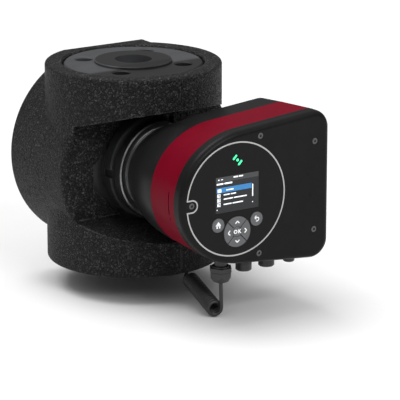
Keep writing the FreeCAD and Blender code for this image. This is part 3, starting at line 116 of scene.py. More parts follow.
class ShellLook(bpy.types.PropertyGroup):
    """The bead foam shells and the coated casting inside them."""

    foam: colour("Foam", "Colour of the fused black beads", (0.024, 0.024, 0.025))
    # Bright foam colour: used for the painted glints and for edges lightened partly as wear and partly as
    # painted highlight
    foam_wear_and_highlight: colour("Worn foam", "Colour of beads rubbed bright at the edges", (0.13, 0.131, 0.135))
    bead: length("Bead size", "Width of one fused bead", 0.0034)
    casting: colour("Casting", "Colour of the dip coating on the iron", (0.052, 0.053, 0.056))


class HeadLook(bpy.types.PropertyGroup):
    """The control head: moulded base and cover, and the colour band between them."""

    plastic: colour("Moulding", "Colour of the moulded base", (0.011, 0.011, 0.0115))
    cover: colour("Cover", "Colour of the front cover", (0.009, 0.009, 0.0095))
    band: colour("Band", "Colour of the painted band", (0.15, 0.0011, 0.0105))
    grain: length("Mould grain", "Width of one grain of the moulded texture", 0.0003)


class PanelLook(bpy.types.PropertyGroup):
    """The round panel with its keys, display and status light."""

    print_black: colour("Panel", "Colour of the printed disc", (0.009, 0.009, 0.0095))
    key: colour("Keys", "Colour of the key caps", (0.098, 0.1, 0.104))
    symbol: colour("Symbols", "Colour of the marks on the keys", (0.86, 0.87, 0.88))
    light: colour("Status light", "Colour of the lit status symbol", (0.05, 0.86, 0.34))
    choice: colour("Chosen row", "Colour of the chosen row on the display", (0.02, 0.15, 0.36))
    glow: share("Display glow", "Brightness of the lit rows", 0.75)


class LeadSizes(bpy.types.PropertyGroup):
    """The curly sensor lead."""

    wire: length("Wire", "Outside diameter of the jacket", 0.004)
    coil_radius: length("Coil radius", "From the coil's axis to the middle of the wire", 0.0071)
    turns: bpy.props.FloatProperty(
        name="Turns", description="Turns in the curly part", default=17.5, min=4)
    jacket: colour("Jacket", "Colour of the jacket", (0.016, 0.016, 0.017))


class StudioSizes(bpy.types.PropertyGroup):
    """Floor, lights and camera."""

    turn: bpy.props.FloatProperty(
        name="Camera turn", description="Camera direction round the pump", default=math.radians(-33.12),
        subtype="ANGLE", unit="ROTATION")
    rise: bpy.props.FloatProperty(
        name="Camera rise", description="Camera height above the level", default=math.radians(15.76),
        subtype="ANGLE", unit="ROTATION")
    away: length("Camera distance", "From the aimed point to the camera", 2.873)
    across: length("Aim across", "Aimed point, to the right of the shaft", 0.07185)
    below: length("Aim below", "Aimed point, below the shaft", 0.0463)
    floor: colour("Floor", "Colour of the floor", (0.79, 0.79, 0.79))


# ---------------------------------------------------------------- shader maths

class Wire:
    """One output of a material's nodes; sums and products of wires add Math nodes."""

    def __init__(self, finish, socket):
        self.finish, self.socket = finish, socket

    def math(self, operation, *others):
        return self.finish.node("Math", {"operation": operation}, dict(enumerate((self, *others))))

    def __add__(self, other):
        return self.math("ADD", other)

    def __sub__(self, other):
        return self.math("SUBTRACT", other)

    def __mul__(self, other):
        return self.math("MULTIPLY", other)

    def __neg__(self):
        return self.math("MULTIPLY", -1.0)

    def __rsub__(self, other):
        return self.finish.node("Math", {"operation": "SUBTRACT"}, {0: other, 1: self})

    __radd__, __rmul__ = __add__, __mul__


class Finish:
    """A material being made: its Principled shader, its nodes and its place in millimetres."""

    def __init__(self, name, **constants):
        self.material = bpy.data.materials.new(name)
        self.material.use_nodes = True
        self.nodes = self.material.node_tree.nodes
        self.shader = self.nodes["Principled BSDF"]
        for key, value in constants.items():
            self.shader.inputs[key.replace("_", " ")].default_value = value
        self.object_place = self.node("TexCoord", {}, {}, "Object")
        self.place = self.node("VectorMath", {"operation": "SCALE"},
                               {0: self.object_place, "Scale": 1 / MM})

    def node(self, kind, settings, values, output=0):
        """Add one node: its settings first, then its sockets' values or links."""
        node = self.nodes.new("ShaderNode" + kind)
        for key, value in settings.items():
            setattr(node, key, value)
        for key, value in values.items():
            self.feed(node.inputs[key], value)
        return Wire(self, node.outputs[output])

    def feed(self, socket, value):
        if isinstance(value, Wire):
            self.material.node_tree.links.new(value.socket, socket)
        elif socket.type == "RGBA" and len(value) == 3:
            socket.default_value = (*value, 1)
        else:
            socket.default_value = value

    def shade(self, **values):
        """Feed the shader's sockets, named with underscores for spaces."""
        for key, value in values.items():
            self.feed(self.shader.inputs[key.replace("_", " ")], value)
        return self

    def noise(self, size, detail=3.0, place=None):
        return self.node("TexNoise", {}, {
            "Vector": place or self.place, "Scale": 1 / size, "Detail": detail, "Roughness": 0.5})

    def cells(self, size, feature="DISTANCE_TO_EDGE", output=0, place=None):
        return self.node("TexVoronoi", {"feature": feature},
                         {"Vector": place or self.place, "Scale": 1 / size}, output)

    def step(self, value, low, high):
        """0 below low, 1 above high, and smooth between them."""
        return self.node("MapRange", {"interpolation_type": "SMOOTHSTEP"},
                         {"Value": value, "From Min": low, "From Max": high})

    def mix(self, amount, first, second):
        return self.node("Mix", {"data_type": "RGBA"}, {0: amount, 6: first, 7: second}, 2)

    def bump(self, height, depth, strength=1.0, under=None):
        """Raise the surface by a height of 0 to 1 times depth, in millimetres."""
        values = {"Height": height, "Distance": depth * MM, "Strength": strength}
        if under is not None:
            values["Normal"] = under
        return self.node("Bump", {}, values)

    def parts(self, place=None):
        """The x, y and z of a place, or the red, green and blue of a colour."""
        first = self.node("SeparateXYZ", {}, {0: place or self.place})
        return [Wire(self, first.socket.node.outputs[axis]) for axis in "XYZ"]

    def edges(self, radius):
        """1 on sharp edges and 0 on flat faces, from how far a rounded normal leans."""
        eased = self.node("Bevel", {"samples": 4}, {"Radius": radius * MM})
        true = self.node("NewGeometry", {}, {}, "Normal")
        lean = self.node("VectorMath", {"operation": "DOT_PRODUCT"}, {0: eased, 1: true}, "Value")
        return self.step(1 - lean, 0.02, 0.2)

    def along_turning(self):
        """A place for turned work: radius from the shaft, depth, and nothing round it."""
        x, y, z = self.parts()
        rise = z - SHAFT_HEIGHT / MM
        radius = (x * x + rise * rise).math("SQRT")
        return self.node("CombineXYZ", {}, {"X": radius, "Y": y})


def tinted(colour_value, amount):
    return tuple(channel * amount for channel in colour_value)


def coat_nodes(finish, nodes):
    """Put a finish on every material slot of some CAD nodes."""
    for name in nodes:
        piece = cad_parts[name]
        if not piece.material_slots:
            piece.data.materials.append(finish.material)
        for slot in piece.material_slots:
            slot.material = finish.material


# ---------------------------------------------------------------- finishes

def bead_foam(look):
    """Expanded bead foam: domed beads fused at dark seams, with painted glints on the bead tops, edges
    rounded in shading and lightened partly as rubbed wear and partly as painted highlight, and painted
    shade round the motor opening.
    """
    bead = look.bead / MM
    finish = Finish("bead_foam", Specular_IOR_Level=0.16)
    wander = finish.node("TexNoise", {}, {"Vector": finish.place, "Scale": 0.4, "Detail": 1}, 1)
    place = finish.node("VectorMath", {"operation": "ADD"}, {0: finish.place, 1: wander})
    seam = finish.cells(bead, place=place)
    tone_value, _, _ = finish.parts(finish.cells(bead, "F1", 1, place))
    x, y, z = finish.parts()
    rise = z - SHAFT_HEIGHT / MM
    # Painted shade: the foam round the motor opening is darkened and roughened where shade falls in the
    # recess
    painted_shade = (1 - finish.step((x * x + rise * rise).math("SQRT"), PAINTED_SHADE_INNER, PAINTED_SHADE_OUTER))
    painted_shade = painted_shade * finish.step(-y, PAINTED_SHADE_BACK, PAINTED_SHADE_FRONT)
    dome = finish.step(seam, 0.0, 0.25)
    skin = finish.noise(1.5, 4)
    # Edges lightened partly as rubbed wear and partly as painted highlight
    worn = finish.edges(2.6) * finish.step(finish.noise(7, 5), 0.4, 0.62)
    # Painted highlight: bright specks on the bead tops stand in for glints of light
    painted_glint = finish.step(skin, 0.55, 0.68) * finish.step(tone_value, 0.1, 0.8)
    pit = 1 - finish.step(finish.noise(1.9, 3, place), 0.36, 0.44)
    base = finish.mix(tone_value, tinted(look.foam, 0.4), tinted(look.foam, 1.7))
    base = finish.mix(dome * (1 - pit), tinted(look.foam, 0.15), base)
    # Painted glints and edge highlight, with edge wear, laid on in the bright foam colour
    base = finish.mix((painted_glint * 0.7 + worn).math("MINIMUM", 1.0), base, look.foam_wear_and_highlight)
    base = finish.mix(painted_shade * 0.75, base, tinted(look.foam, 0.2))
    rough = 0.46 + tone_value * 0.24 - painted_glint * 0.14 + painted_shade * 0.25
    eased = finish.node("Bevel", {"samples": 8}, {"Radius": EDGE_EASE * MM})
    grain = finish.bump(skin, 0.8, 1.0, eased)
    hollow = finish.bump(1 - pit, 0.8, 1.0, grain)
    relief = finish.bump(dome * (0.4 + tone_value * 0.6), 0.9, 1.0, hollow)
    return finish.shade(Base_Color=base, Roughness=rough, Normal=relief)


def coated_casting(look):
    """Sand-cast iron under a thin dip coating, with turned contact faces at both ports and painted shade on
    the motor flange under the head.
    """
    finish = Finish("coated_iron", Specular_IOR_Level=0.2)
    x, y, z = finish.parts()
    radius = (x * x + y * y).math("SQRT")
    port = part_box("pump_housing")[1].z / MM
    ends = finish.step(z, port - 0.3, port - 0.1) + (1 - finish.step(z, 0.1, 0.3))
    turned_face = ends * (1 - finish.step(radius, FACE_RADIUS - 0.2, FACE_RADIUS + 0.2))
    groove = (radius * (2 * math.pi / GROOVE_PITCH)).math("SINE") * 0.5 + 0.5
    sand = finish.noise(1.1, 6)
    broad = finish.noise(22, 3)
    worn = finish.edges(1.0) * finish.step(broad, 0.4, 0.6)
    base = finish.mix(broad, tinted(look.casting, 0.75), tinted(look.casting, 1.3))
    base = finish.mix(finish.step(sand, 0.62, 0.72) * 0.5, base, tinted(look.casting, 2.2))
    # Turned faces get their own darker tone; the casting forward of 20 to 30 mm depth, the motor flange
    # under the head, gets painted shade
    shade = turned_face * 0.95 + finish.step(-y, 20, 30)
    base = finish.mix(shade * 0.9, base, tinted(look.casting, 0.15))
    base = finish.mix(worn * 0.5, base, tinted(look.casting, 3))
    rough = 0.42 + sand * 0.18 - turned_face * 0.1
    relief = finish.bump(sand * (1 - turned_face), 0.35, 0.6)
    relief = finish.bump(groove * turned_face, 0.05, 0.6, relief)
    return finish.shade(Base_Color=base, Roughness=rough, Normal=relief)


def turned_metal(name, tone, low, high, stroke=0.25, depth=0.02):
    """Bright metal with fine turning or brushing marks that run round the shaft."""
    finish = Finish(name, Metallic=1.0)
    marks = finish.noise(stroke, 4, finish.along_turning())
    cloud = finish.noise(12, 2)
    base = finish.mix(marks, tinted(tone, 0.78), tone)
    base = finish.mix(cloud * 0.3, base, tinted(tone, 0.6))
    rough = low + marks * (high - low)
    return finish.shade(Base_Color=base, Roughness=rough, Normal=finish.bump(marks, depth, 0.5))


def moulded(name, tone, rough, grain, depth=0.03, spread=0.25, **constants):
    """Moulded plastic: a fine sparked grain and faint cloudiness from flow in the mould."""
    finish = Finish(name, **constants)
    texture = finish.noise(grain / MM, 2)
    cloud = finish.noise(16, 3)
    rubbed = finish.edges(0.7) * finish.step(cloud, 0.35, 0.7)
    base = finish.mix(cloud, tinted(tone, 1 - spread), tinted(tone, 1 + spread))
    base = finish.mix(rubbed * 0.35, base, tinted(tone, 2.2))
    return finish.shade(Base_Color=base, Roughness=rough + (cloud - 0.5) * 0.12 - rubbed * 0.06,
                        Normal=finish.bump(texture, depth, 0.6))


def band_paint(look):
    """Deep satin paint with a faint orange peel."""
    finish = Finish("band_paint", Specular_IOR_Level=0.04)
    peel = finish.noise(1.6, 2)
    cloud = finish.noise(30, 2)
    base = finish.mix(cloud, tinted(look.band, 0.85), tinted(look.band, 1.12))
    return finish.shade(Base_Color=base, Roughness=0.36 + cloud * 0.1,
                        Normal=finish.bump(peel, 0.03, 0.5))


def clamp_steel():
    """Pressed band steel: darkened across its face as painted shade and lightened along its rolled edges as
    painted highlight.
    """
    finish = Finish("clamp_steel", Metallic=1.0)
    marks = finish.noise(0.25, 4, finish.along_turning())
    # Painted shade on the band's face, painted highlight on its rolled edges
    edge = finish.edges(1.1)
    base = finish.mix(marks, (0.09, 0.09, 0.09), (0.22, 0.22, 0.22))
    base = finish.mix(edge, base, (0.8, 0.8, 0.79))
    return finish.shade(Base_Color=base, Roughness=0.26 + marks * 0.16 - edge * 0.06,
                        Normal=finish.bump(marks, 0.02, 0.5))


def laminations():
    """Stacked sheet steel with its edges showing as fine rings along the shaft."""
    finish = Finish("laminations", Metallic=0.85)
    _, y, _ = finish.parts()
    sheets = (y * (2 * math.pi / SHEET_PITCH)).math("SINE") * 0.5 + 0.5
    base = finish.mix(sheets, (0.1, 0.1, 0.11), (0.34, 0.34, 0.35))
    return finish.shade(Base_Color=base, Roughness=0.45 + finish.noise(3) * 0.2,
                        Normal=finish.bump(sheets, 0.08))


def winding():
    """Enamelled copper wire, laid side by side round the teeth."""
    finish = Finish("winding", Metallic=0.9, Coat_Weight=0.4)
    turns = finish.node("TexWave", {"bands_direction": "DIAGONAL"},
                        {"Vector": finish.place, "Scale": 0.55, "Distortion": 1.2, "Detail": 1})
    value = finish.parts(turns)[0]
    base = finish.mix(value, (0.32, 0.09, 0.03), (0.78, 0.33, 0.15))
    return finish.shade(Base_Color=base, Roughness=0.28 + value * 0.15,
                        Normal=finish.bump(value, 0.3, 0.8))


def circuit_board():
    """Green solder resist over copper tracks, with the tracks' edges standing slightly proud."""
    finish = Finish("circuit_board", Coat_Weight=0.3)
    blocks = finish.cells(7, "F1", 1)
    track = finish.node("TexBrick", {"offset": 0.35}, {
        "Vector": finish.place, "Scale": 0.4, "Mortar Size": 0.06, "Color1": (0, 0, 0),
        "Color2": (0, 0, 0), "Mortar": (1, 1, 1)})
    lines = finish.parts(track)[0]
    tone = finish.parts(blocks)[0]
    base = finish.mix(tone, (0.006, 0.075, 0.03), (0.01, 0.12, 0.05))
    base = finish.mix(lines * 0.6, base, (0.05, 0.26, 0.1))
    return finish.shade(Base_Color=base, Roughness=0.35 + tone * 0.1, Normal=finish.bump(lines, 0.05))


def cast_metal(name, tone, rough, grain=0.8, metal=1.0, depth=0.1):
    """Die-cast or sintered metal and ceramic: a fine even grain, slightly cloudy."""
    finish = Finish(name, Metallic=metal)
    texture = finish.noise(grain, 4)
    cloud = finish.noise(14, 3)
    base = finish.mix(texture, tinted(tone, 0.8), tone)
    base = finish.mix(cloud * 0.35, base, tinted(tone, 0.62))
    return finish.shade(Base_Color=base, Roughness=rough + texture * 0.15,
                        Normal=finish.bump(texture, depth, 0.6))


def soft_rubber(name, tone):
    """Rubber or jacket compound: matt, with patchy bloom."""
    finish = Finish(name, Specular_IOR_Level=0.6)
    bloom = finish.noise(4, 5)
    grain = finish.noise(0.4, 2)
    base = finish.mix(bloom, tinted(tone, 0.75), tinted(tone, 1.4))
    return finish.shade(Base_Color=base, Roughness=0.34 + bloom * 0.2, Normal=finish.bump(grain, 0.03, 0.6))


def lit(name, tone, strength, cell=1.2):
    """A lit symbol: a diffused light with the faint mottling of its light guide."""
    finish = Finish(name, Emission_Strength=strength, Roughness=0.4)
    mottle = finish.noise(cell, 2)
    glow = finish.mix(mottle, tinted(tone, 0.8), tone)
    return finish.shade(Base_Color=glow, Emission_Color=glow)


# ---------------------------------------------------------------- modelling helpers

def start_fresh():
    """Nothing selected, in object mode."""
    if bpy.context.mode != "OBJECT":
        bpy.ops.object.mode_set(mode="OBJECT")
    bpy.ops.object.select_all(action="DESELECT")


def pick(piece):
    start_fresh()
    piece.select_set(True)
    bpy.context.view_layer.objects.active = piece
    return piece


def choose_edges(piece, rule):
    """Enter edit mode with only the edges that the rule picks selected."""
    pick(piece)
    bpy.ops.object.mode_set(mode="EDIT")
    bpy.ops.mesh.select_mode(type="EDGE")
    bpy.ops.mesh.select_all(action="DESELECT")
    shape = bmesh.from_edit_mesh(piece.data)
    for edge in shape.edges:
        edge.select_set(rule(edge))
    bmesh.update_edit_mesh(piece.data)


def round_depthwise(piece, radius, segments=3):
    """Round the edges that run along the shaft."""
    def depthwise(edge):
        run = edge.verts[1].co - edge.verts[0].co
        return abs(run.y) > 0.9 * run.length
    choose_edges(piece, depthwise)
    bpy.ops.mesh.bevel(offset=radius, segments=segments, affect="EDGES")
    bpy.ops.object.mode_set(mode="OBJECT")


def settle(piece):
    """Put a piece's place, turn and size into its mesh."""
    pick(piece)
    bpy.ops.object.transform_apply(location=True, rotation=True, scale=True)
    return piece


def bar(x, z, wide, tall, front, thick, corner, turn=0.0):
    """A thin plate facing forward, centred at x and z from the shaft, with rounded corners."""
    start_fresh()
    bpy.ops.mesh.primitive_cube_add(size=1, scale=(wide, thick, tall))
    piece = settle(bpy.context.object)
    round_depthwise(piece, min(corner, 0.49 * min(wide, tall)))
    piece.rotation_euler = (0, turn, 0)
    piece.location = (x, front + thick / 2, SHAFT_HEIGHT + z)
    return settle(piece)


def joined(name, pieces, finish, body="root"):
    """Join pieces into one named piece with a finish, riding on a body."""
    pick(pieces[0])
    for piece in pieces[1:]:
        piece.select_set(True)
    if len(pieces) > 1:
        bpy.ops.object.join()
    whole = settle(bpy.context.view_layer.objects.active)
    bpy.ops.object.mode_set(mode="EDIT")
    bpy.ops.mesh.select_all(action="SELECT")
    bpy.ops.mesh.normals_make_consistent(inside=False)
    bpy.ops.object.mode_set(mode="OBJECT")
    whole.name = name
    whole.data.materials.clear()
    whole.data.materials.append(finish.material)
    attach(whole, body)
    return whole


class PumpStep:
    """What the pump's operators share."""

    bl_options = {"REGISTER", "UNDO"}


# ---------------------------------------------------------------- operators: finishes

class PUMP_OT_shells(PumpStep, bpy.types.Operator):
    """Give the foam shells and the casting their finishes"""

    bl_idname = "pump.shells"
    bl_label = "Shells and casting"

    def execute(self, context):
        look = context.scene.pump_shell_look
        coat_nodes(bead_foam(look), ["insulation_left", "insulation_right"])
        coat_nodes(coated_casting(look), ["pump_housing"])
        return {"FINISHED"}


class PUMP_OT_motor(PumpStep, bpy.types.Operator):
    """Give the clamp, the motor shell and the rotating parts their finishes"""

    bl_idname = "pump.motor"
    bl_label = "Clamp and motor"

    def execute(self, context):
        coat_nodes(clamp_steel(), ["clamp_ring", "clamp_screw"])
        coat_nodes(turned_metal("pressed_stainless", (0.62, 0.61, 0.6), 0.16, 0.34), [
            "rotor_can", "impeller", "impeller_eye_shroud", "wear_ring", "bearing_plate",
            "motor_screws"])
        coat_nodes(cast_metal("motor_casting", (0.52, 0.53, 0.54), 0.34), ["stator_housing", "heat_sink"])
        coat_nodes(cast_metal("ceramic", (0.8, 0.78, 0.72), 0.2, 0.5, 0.0, 0.01), ["shaft", "thrust_ring"])
        coat_nodes(cast_metal("carbon", (0.035, 0.035, 0.037), 0.4, 0.4, 0.1), [
            "front_bearing", "rear_bearing", "thrust_bearing"])
        coat_nodes(turned_metal("rotor_sleeve", (0.5, 0.5, 0.51), 0.25, 0.45, 0.4), ["rotor_core"])
        coat_nodes(turned_metal("holder_steel", (0.4, 0.4, 0.42), 0.3, 0.5), ["rear_bearing_holder"])
        coat_nodes(laminations(), ["stator_core"])
        coat_nodes(winding(), ["stator_coils"])
        return {"FINISHED"}


class PUMP_OT_head(PumpStep, bpy.types.Operator):
    """Give the control head, its entries and its boards their finishes"""

    bl_idname = "pump.head"
    bl_label = "Control head"

    def execute(self, context):
        look = context.scene.pump_head_look
        coat_nodes(moulded("base_moulding", look.plastic, 0.32, look.grain, Specular_IOR_Level=0.1),
                   ["control_box_base"])
        coat_nodes(moulded("cover_moulding", look.cover, 0.3, look.grain, Specular_IOR_Level=0.08),
                   ["front_cover"])
        coat_nodes(band_paint(look), ["colour_band"])
        entry = moulded("entry_moulding", (0.022, 0.022, 0.023), 0.42, look.grain, 0.03)
        coat_nodes(entry, ["gland_body", "gland_nut", "blanking_plugs", "vent_plug"])
        coat_nodes(turned_metal("blackened_steel", (0.13, 0.13, 0.135), 0.3, 0.45), ["cover_screws"])
        coat_nodes(soft_rubber("seal_rubber", (0.02, 0.02, 0.02)), [
            "housing_gasket", "cover_gasket", "plug_seals", "sensor_seal"])
        coat_nodes(soft_rubber("key_silicone", (0.11, 0.112, 0.115)), ["key_mat"])
        coat_nodes(circuit_board(), ["control_board", "power_board"])
        coat_nodes(moulded("capacitor_sleeve", (0.02, 0.04, 0.12), 0.3, look.grain),
                   ["board_capacitors"])
        coat_nodes(winding(), ["power_choke"])
        coat_nodes(moulded("terminal_moulding", (0.3, 0.31, 0.32), 0.45, look.grain), ["terminal_block"])
        coat_nodes(turned_metal("sensor_steel", (0.6, 0.6, 0.6), 0.2, 0.35), ["sensor"])
        coat_nodes(moulded("plug_moulding", (0.025, 0.025, 0.026), 0.45, look.grain), ["sensor_plug"])
        return {"FINISHED"}


class PUMP_OT_panel(PumpStep, bpy.types.Operator):
    """Give the panel, its ring, keys, display and status light their finishes"""

    bl_idname = "pump.panel"
    bl_label = "Panel and keys"

    def execute(self, context):
        look = context.scene.pump_panel_look
        grain = context.scene.pump_head_look.grain
        coat_nodes(moulded("panel_print", look.print_black, 0.42, grain, 0.012, 0.15,
                           Specular_IOR_Level=0.1), ["panel_disc"])
        coat_nodes(turned_metal("bright_ring", (0.5, 0.5, 0.49), 0.22, 0.36), ["panel_ring"])
        coat_nodes(moulded("display_glass", (0.011, 0.012, 0.014), 0.16, grain, 0.002, 0.15,
                           Specular_IOR_Level=0.35), ["display_glass", "display_module"])
        coat_nodes(lit("status_light", look.light, 1.1), ["status_lights"])
        keys = [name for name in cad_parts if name.endswith("_key")]
        coat_nodes(moulded("key_caps", look.key, 0.42, grain, 0.02, 0.12), keys)
        return {"FINISHED"}


# ---------------------------------------------------------------- operators: new pieces

def chevron(x, z, reach, turn, front):
    """Two short bars that meet in a point, turned about the shaft's direction."""
    wide = 0.00125
    arms = []
    for side in (-1, 1):
        lean = turn - side * math.pi / 4
        dx, dz = -math.cos(turn) * side * reach / 2, math.sin(turn) * side * reach / 2
        arms.append(bar(x + dx, z + dz, reach * 1.55, wide, front, MARK_THICK, wide / 2, lean))
    return arms


def house(x, z, front):
    """A house: walls with a doorway between them under a pitched roof."""
    walls = [bar(x + side * 0.0016, z - 0.0014, 0.0016, 0.0034, front, MARK_THICK, 0.0002)
             for side in (-1, 1)]
    walls.append(bar(x, z - 0.0002, 0.0044, 0.0012, front, MARK_THICK, 0.0002))
    start_fresh()
    bpy.ops.mesh.primitive_cylinder_add(vertices=3, radius=0.0041, depth=MARK_THICK)
    roof = bpy.context.object
    roof.scale = (1, 0.72, 1)
    settle(roof)
    roof.rotation_euler = (math.pi / 2, 0, 0)
    roof.location = (x, front + MARK_THICK / 2, SHAFT_HEIGHT + z + 0.0012)
    settle(roof)
    round_depthwise(roof, 0.0003, 2)
    return [*walls, roof]


def back_arrow(x, z, front):
    """An arrow that turns back on itself: a hook of short bars with a pointed head."""
    wide, reach, steps = 0.0011, 0.0019, 7
    run = math.pi * reach / steps * 1.25
    pieces = []
    for index in range(steps):
        angle = math.pi * (index + 0.5) / steps
        pieces.append(bar(x + reach * math.sin(angle), z + reach * math.cos(angle), run, wide, front,
                          MARK_THICK, 0.0002, angle))
    pieces.append(bar(x - 0.0012, z + reach, 0.003, wide, front, MARK_THICK, 0.0003))
    pieces.append(bar(x - 0.0006, z - reach, 0.0018, wide, front, MARK_THICK, 0.0003))
    for side in (-1, 1):
        pieces.append(bar(x - 0.0021, z + reach + side * 0.0009, 0.0029, wide, front, MARK_THICK, 0.0003,
                          -side * math.pi / 4))
    return pieces


class PUMP_OT_symbols(PumpStep, bpy.types.Operator):
    """Mark each key with its symbol"""

    bl_idname = "pump.symbols"
    bl_label = "Key symbols"

    def execute(self, context):
        look = context.scene.pump_panel_look
        # Painted glow: the printed key symbols are given a faint emission though they are no lamp
        ink_with_painted_glow = lit("key_mark_painted_glow", look.symbol, 0.25)
        front = KEY_FRONT - MARK_PROUD
        middle = {name: (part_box(name + "_key")[0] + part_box(name + "_key")[1]) / 2
                  for name in ("home", "back", "ok", "up", "down", "left", "right")}
        height = {name: place.z - SHAFT_HEIGHT for name, place in middle.items()}
        joined("home_mark", house(middle["home"].x, height["home"], front), ink_with_painted_glow, "home_key_body")
        joined("back_mark", back_arrow(middle["back"].x + 0.0005, height["back"] - 0.0004, front), ink_with_painted_glow,
               "back_key_body")
        for name, turn in (("up", 0), ("right", math.pi / 2), ("down", math.pi), ("left", -math.pi / 2)):
            arms = chevron(middle[name].x, height[name], 0.0024, turn, front)
            joined(name + "_mark", arms, ink_with_painted_glow, name + "_key_body")
        joined("ok_mark", [self.letters(middle["ok"], front)], ink_with_painted_glow, "ok_key_body")
        return {"FINISHED"}

    @staticmethod
    def letters(middle, front):
        """The confirm mark of the middle key."""
        start_fresh()
        bpy.ops.object.text_add()
        text = bpy.context.object
        text.data.body = "OK"
        text.data.size = LETTER_SIZE
        text.data.extrude = LETTER_HALF_THICK
        text.data.offset = 0.00022
        text.data.space_character = 1.3
        text.data.align_x, text.data.align_y = "CENTER", "CENTER"
        bpy.ops.object.convert(target="MESH")
        text = bpy.context.object
        text.rotation_euler = (math.pi / 2, 0, 0)
        text.location = (middle.x, front + LETTER_HALF_THICK, middle.z)
        return settle(text)


class PUMP_OT_display(PumpStep, bpy.types.Operator):
    """Build the lit rows, marks and scroll bar of the display"""

    bl_idname = "pump.display"
    bl_label = "Display content"

    # Rows as (left, right, height above the shaft, tall), in millimetres
    words = ((-22.4, -20.4, 23.2, 1.2), (-18.8, -16.2, 23.2, 0.9), (-3.4, 2.6, 24.0, 1.4),
             (3.3, 8.6, 24.0, 1.4), (-24.0, -15.6, 18.7, 1.7), (-14.6, -4.8, 18.7, 1.7),
             (-15.5, -7.6, 6.8, 1.25), (-6.8, 0.0, 6.8, 1.25), (-15.5, -3.8, 2.2, 1.25),
             (-2.9, 13.2, 2.2, 1.25), (-15.5, -5.4, -3.4, 1.25), (-4.5, 8.7, -3.4, 1.25),
             (-12.5, -3.0, 11.6, 1.25), (19.9, 21.1, 6.8, 13.4), (19.9, 21.1, -5.8, 1.2),
             (-24.0, -22.8, -8.4, 1.2))
    marks = ((-21.2, 6.4), (-21.2, 1.6), (-21.2, -3.2))

    def execute(self, context):
        look = context.scene.pump_panel_look
        front, thin = GLASS_FRONT - ROW_PROUD, ROW_THICK
        white = lit("display_white", (0.8, 0.83, 0.86), look.glow)
        grey = lit("display_grey", (0.035, 0.037, 0.04), look.glow * 0.5)
        blue = lit("display_choice", look.choice, look.glow, 6)
        header = bar(0.0014, 0.0232, 0.0525, 0.0052, front, thin, 0.0003)
        joined("display_header", [header], grey)
        choice = bar(-0.0024, 0.0119, 0.043, 0.0055, front, thin, 0.0003)
        joined("display_choice", [choice], blue)
        words = [bar((low + high) / 2 * MM, z * MM, (high - low) * MM, tall * MM, front - thin / 2, thin,
                     0.0006) for low, high, z, tall in self.words]
        joined("display_words", words, white)
        marks = []
        for x, z in self.marks:
            for side in (-1, 1):
                marks.append(bar((x + side * 1.6) * MM, z * MM, 0.0006, 0.0038, front, thin, 0.0001))
                marks.append(bar(x * MM, (z + side * 1.6) * MM, 0.0038, 0.0006, front, thin, 0.0001))
            marks.append(bar((x - 0.3) * MM, (z - 0.2) * MM, 0.0018, 0.0018, front, thin, 0.0003))
        marks.append(bar(-0.0205, 0.0116, 0.0046, 0.0036, front - thin / 2, thin, 0.0006))
        joined("display_marks", marks, white)
        return {"FINISHED"}


# The lead's route: down from the gland, the curly part's axis, and up to the sensor. The drop's last
# point and the tail's first are where they meet the curly part, whose own turns stand in for them.
LEAD_DROP = ((0.0053, -0.163, 0.0165), (0.0054, -0.1632, 0.006), (0.005, -0.1644, -0.004),
             (0.0049, -0.1658, -0.0145))
COIL_AXIS = ((-0.0022, -0.165, -0.0185), (0.017, -0.085, -0.0085))
LEAD_TAIL = ((0.017, -0.087, -0.0065), (0.0163, -0.0829, 0.002), (0.0163, -0.0829, 0.015),
             (0.0143, -0.0805, 0.027), (0.012, -0.073, 0.0315), (0.009, -0.0635, 0.032))
POINTS_PER_TURN = 12


def smooth_line(name, points, thickness=0.0):
    """A NURBS curve with these control points, as round wire of the given thickness."""
    line = bpy.data.curves.new(name, "CURVE")
    line.dimensions = "3D"
    spline = line.splines.new("NURBS")
    spline.points.add(len(points) - 1)
    for point, place in zip(spline.points, points):
        point.co = (*place, 1)
    spline.order_u = 3
    spline.use_endpoint_u = True
    spline.resolution_u = 6
    line.bevel_depth = thickness / 2
    line.bevel_resolution = 4
    line.use_fill_caps = True
    piece = bpy.data.objects.new(name, line)
    bpy.context.scene.collection.objects.link(piece)
    return piece


def places_along(route, count):
    """Points read from a route's own spline, evenly spaced along it, with its directions there."""
    bpy.context.view_layer.update()
    mesh = bpy.data.meshes.new_from_object(route)
    line = [vertex.co.copy() for vertex in mesh.vertices]
    steps = [(b - a).length for a, b in zip(line, line[1:])]
    total, places = sum(steps), []
    for index in range(count):
        want, walked = total * index / (count - 1), 0.0
        for start, end, run in zip(line, line[1:], steps):
            if walked + run >= want - 1e-9 and run > 0:
                places.append((start.lerp(end, (want - walked) / run), (end - start).normalized()))
                break
            walked += run
    bpy.data.meshes.remove(mesh)
    return places


def curled(route, radius, turns, start_angle):
    """A helix round a route, entering and leaving at its own radius."""
    points = []
    places = places_along(route, round(turns * POINTS_PER_TURN) + 1)
    for index, (place, along) in enumerate(places):
        side = along.cross(Vector((0, 0, 1))).normalized()
        over = side.cross(along)
        angle = start_angle - 2 * math.pi * index / POINTS_PER_TURN
        points.append(place + (side * math.cos(angle) + over * math.sin(angle)) * radius)
    return points


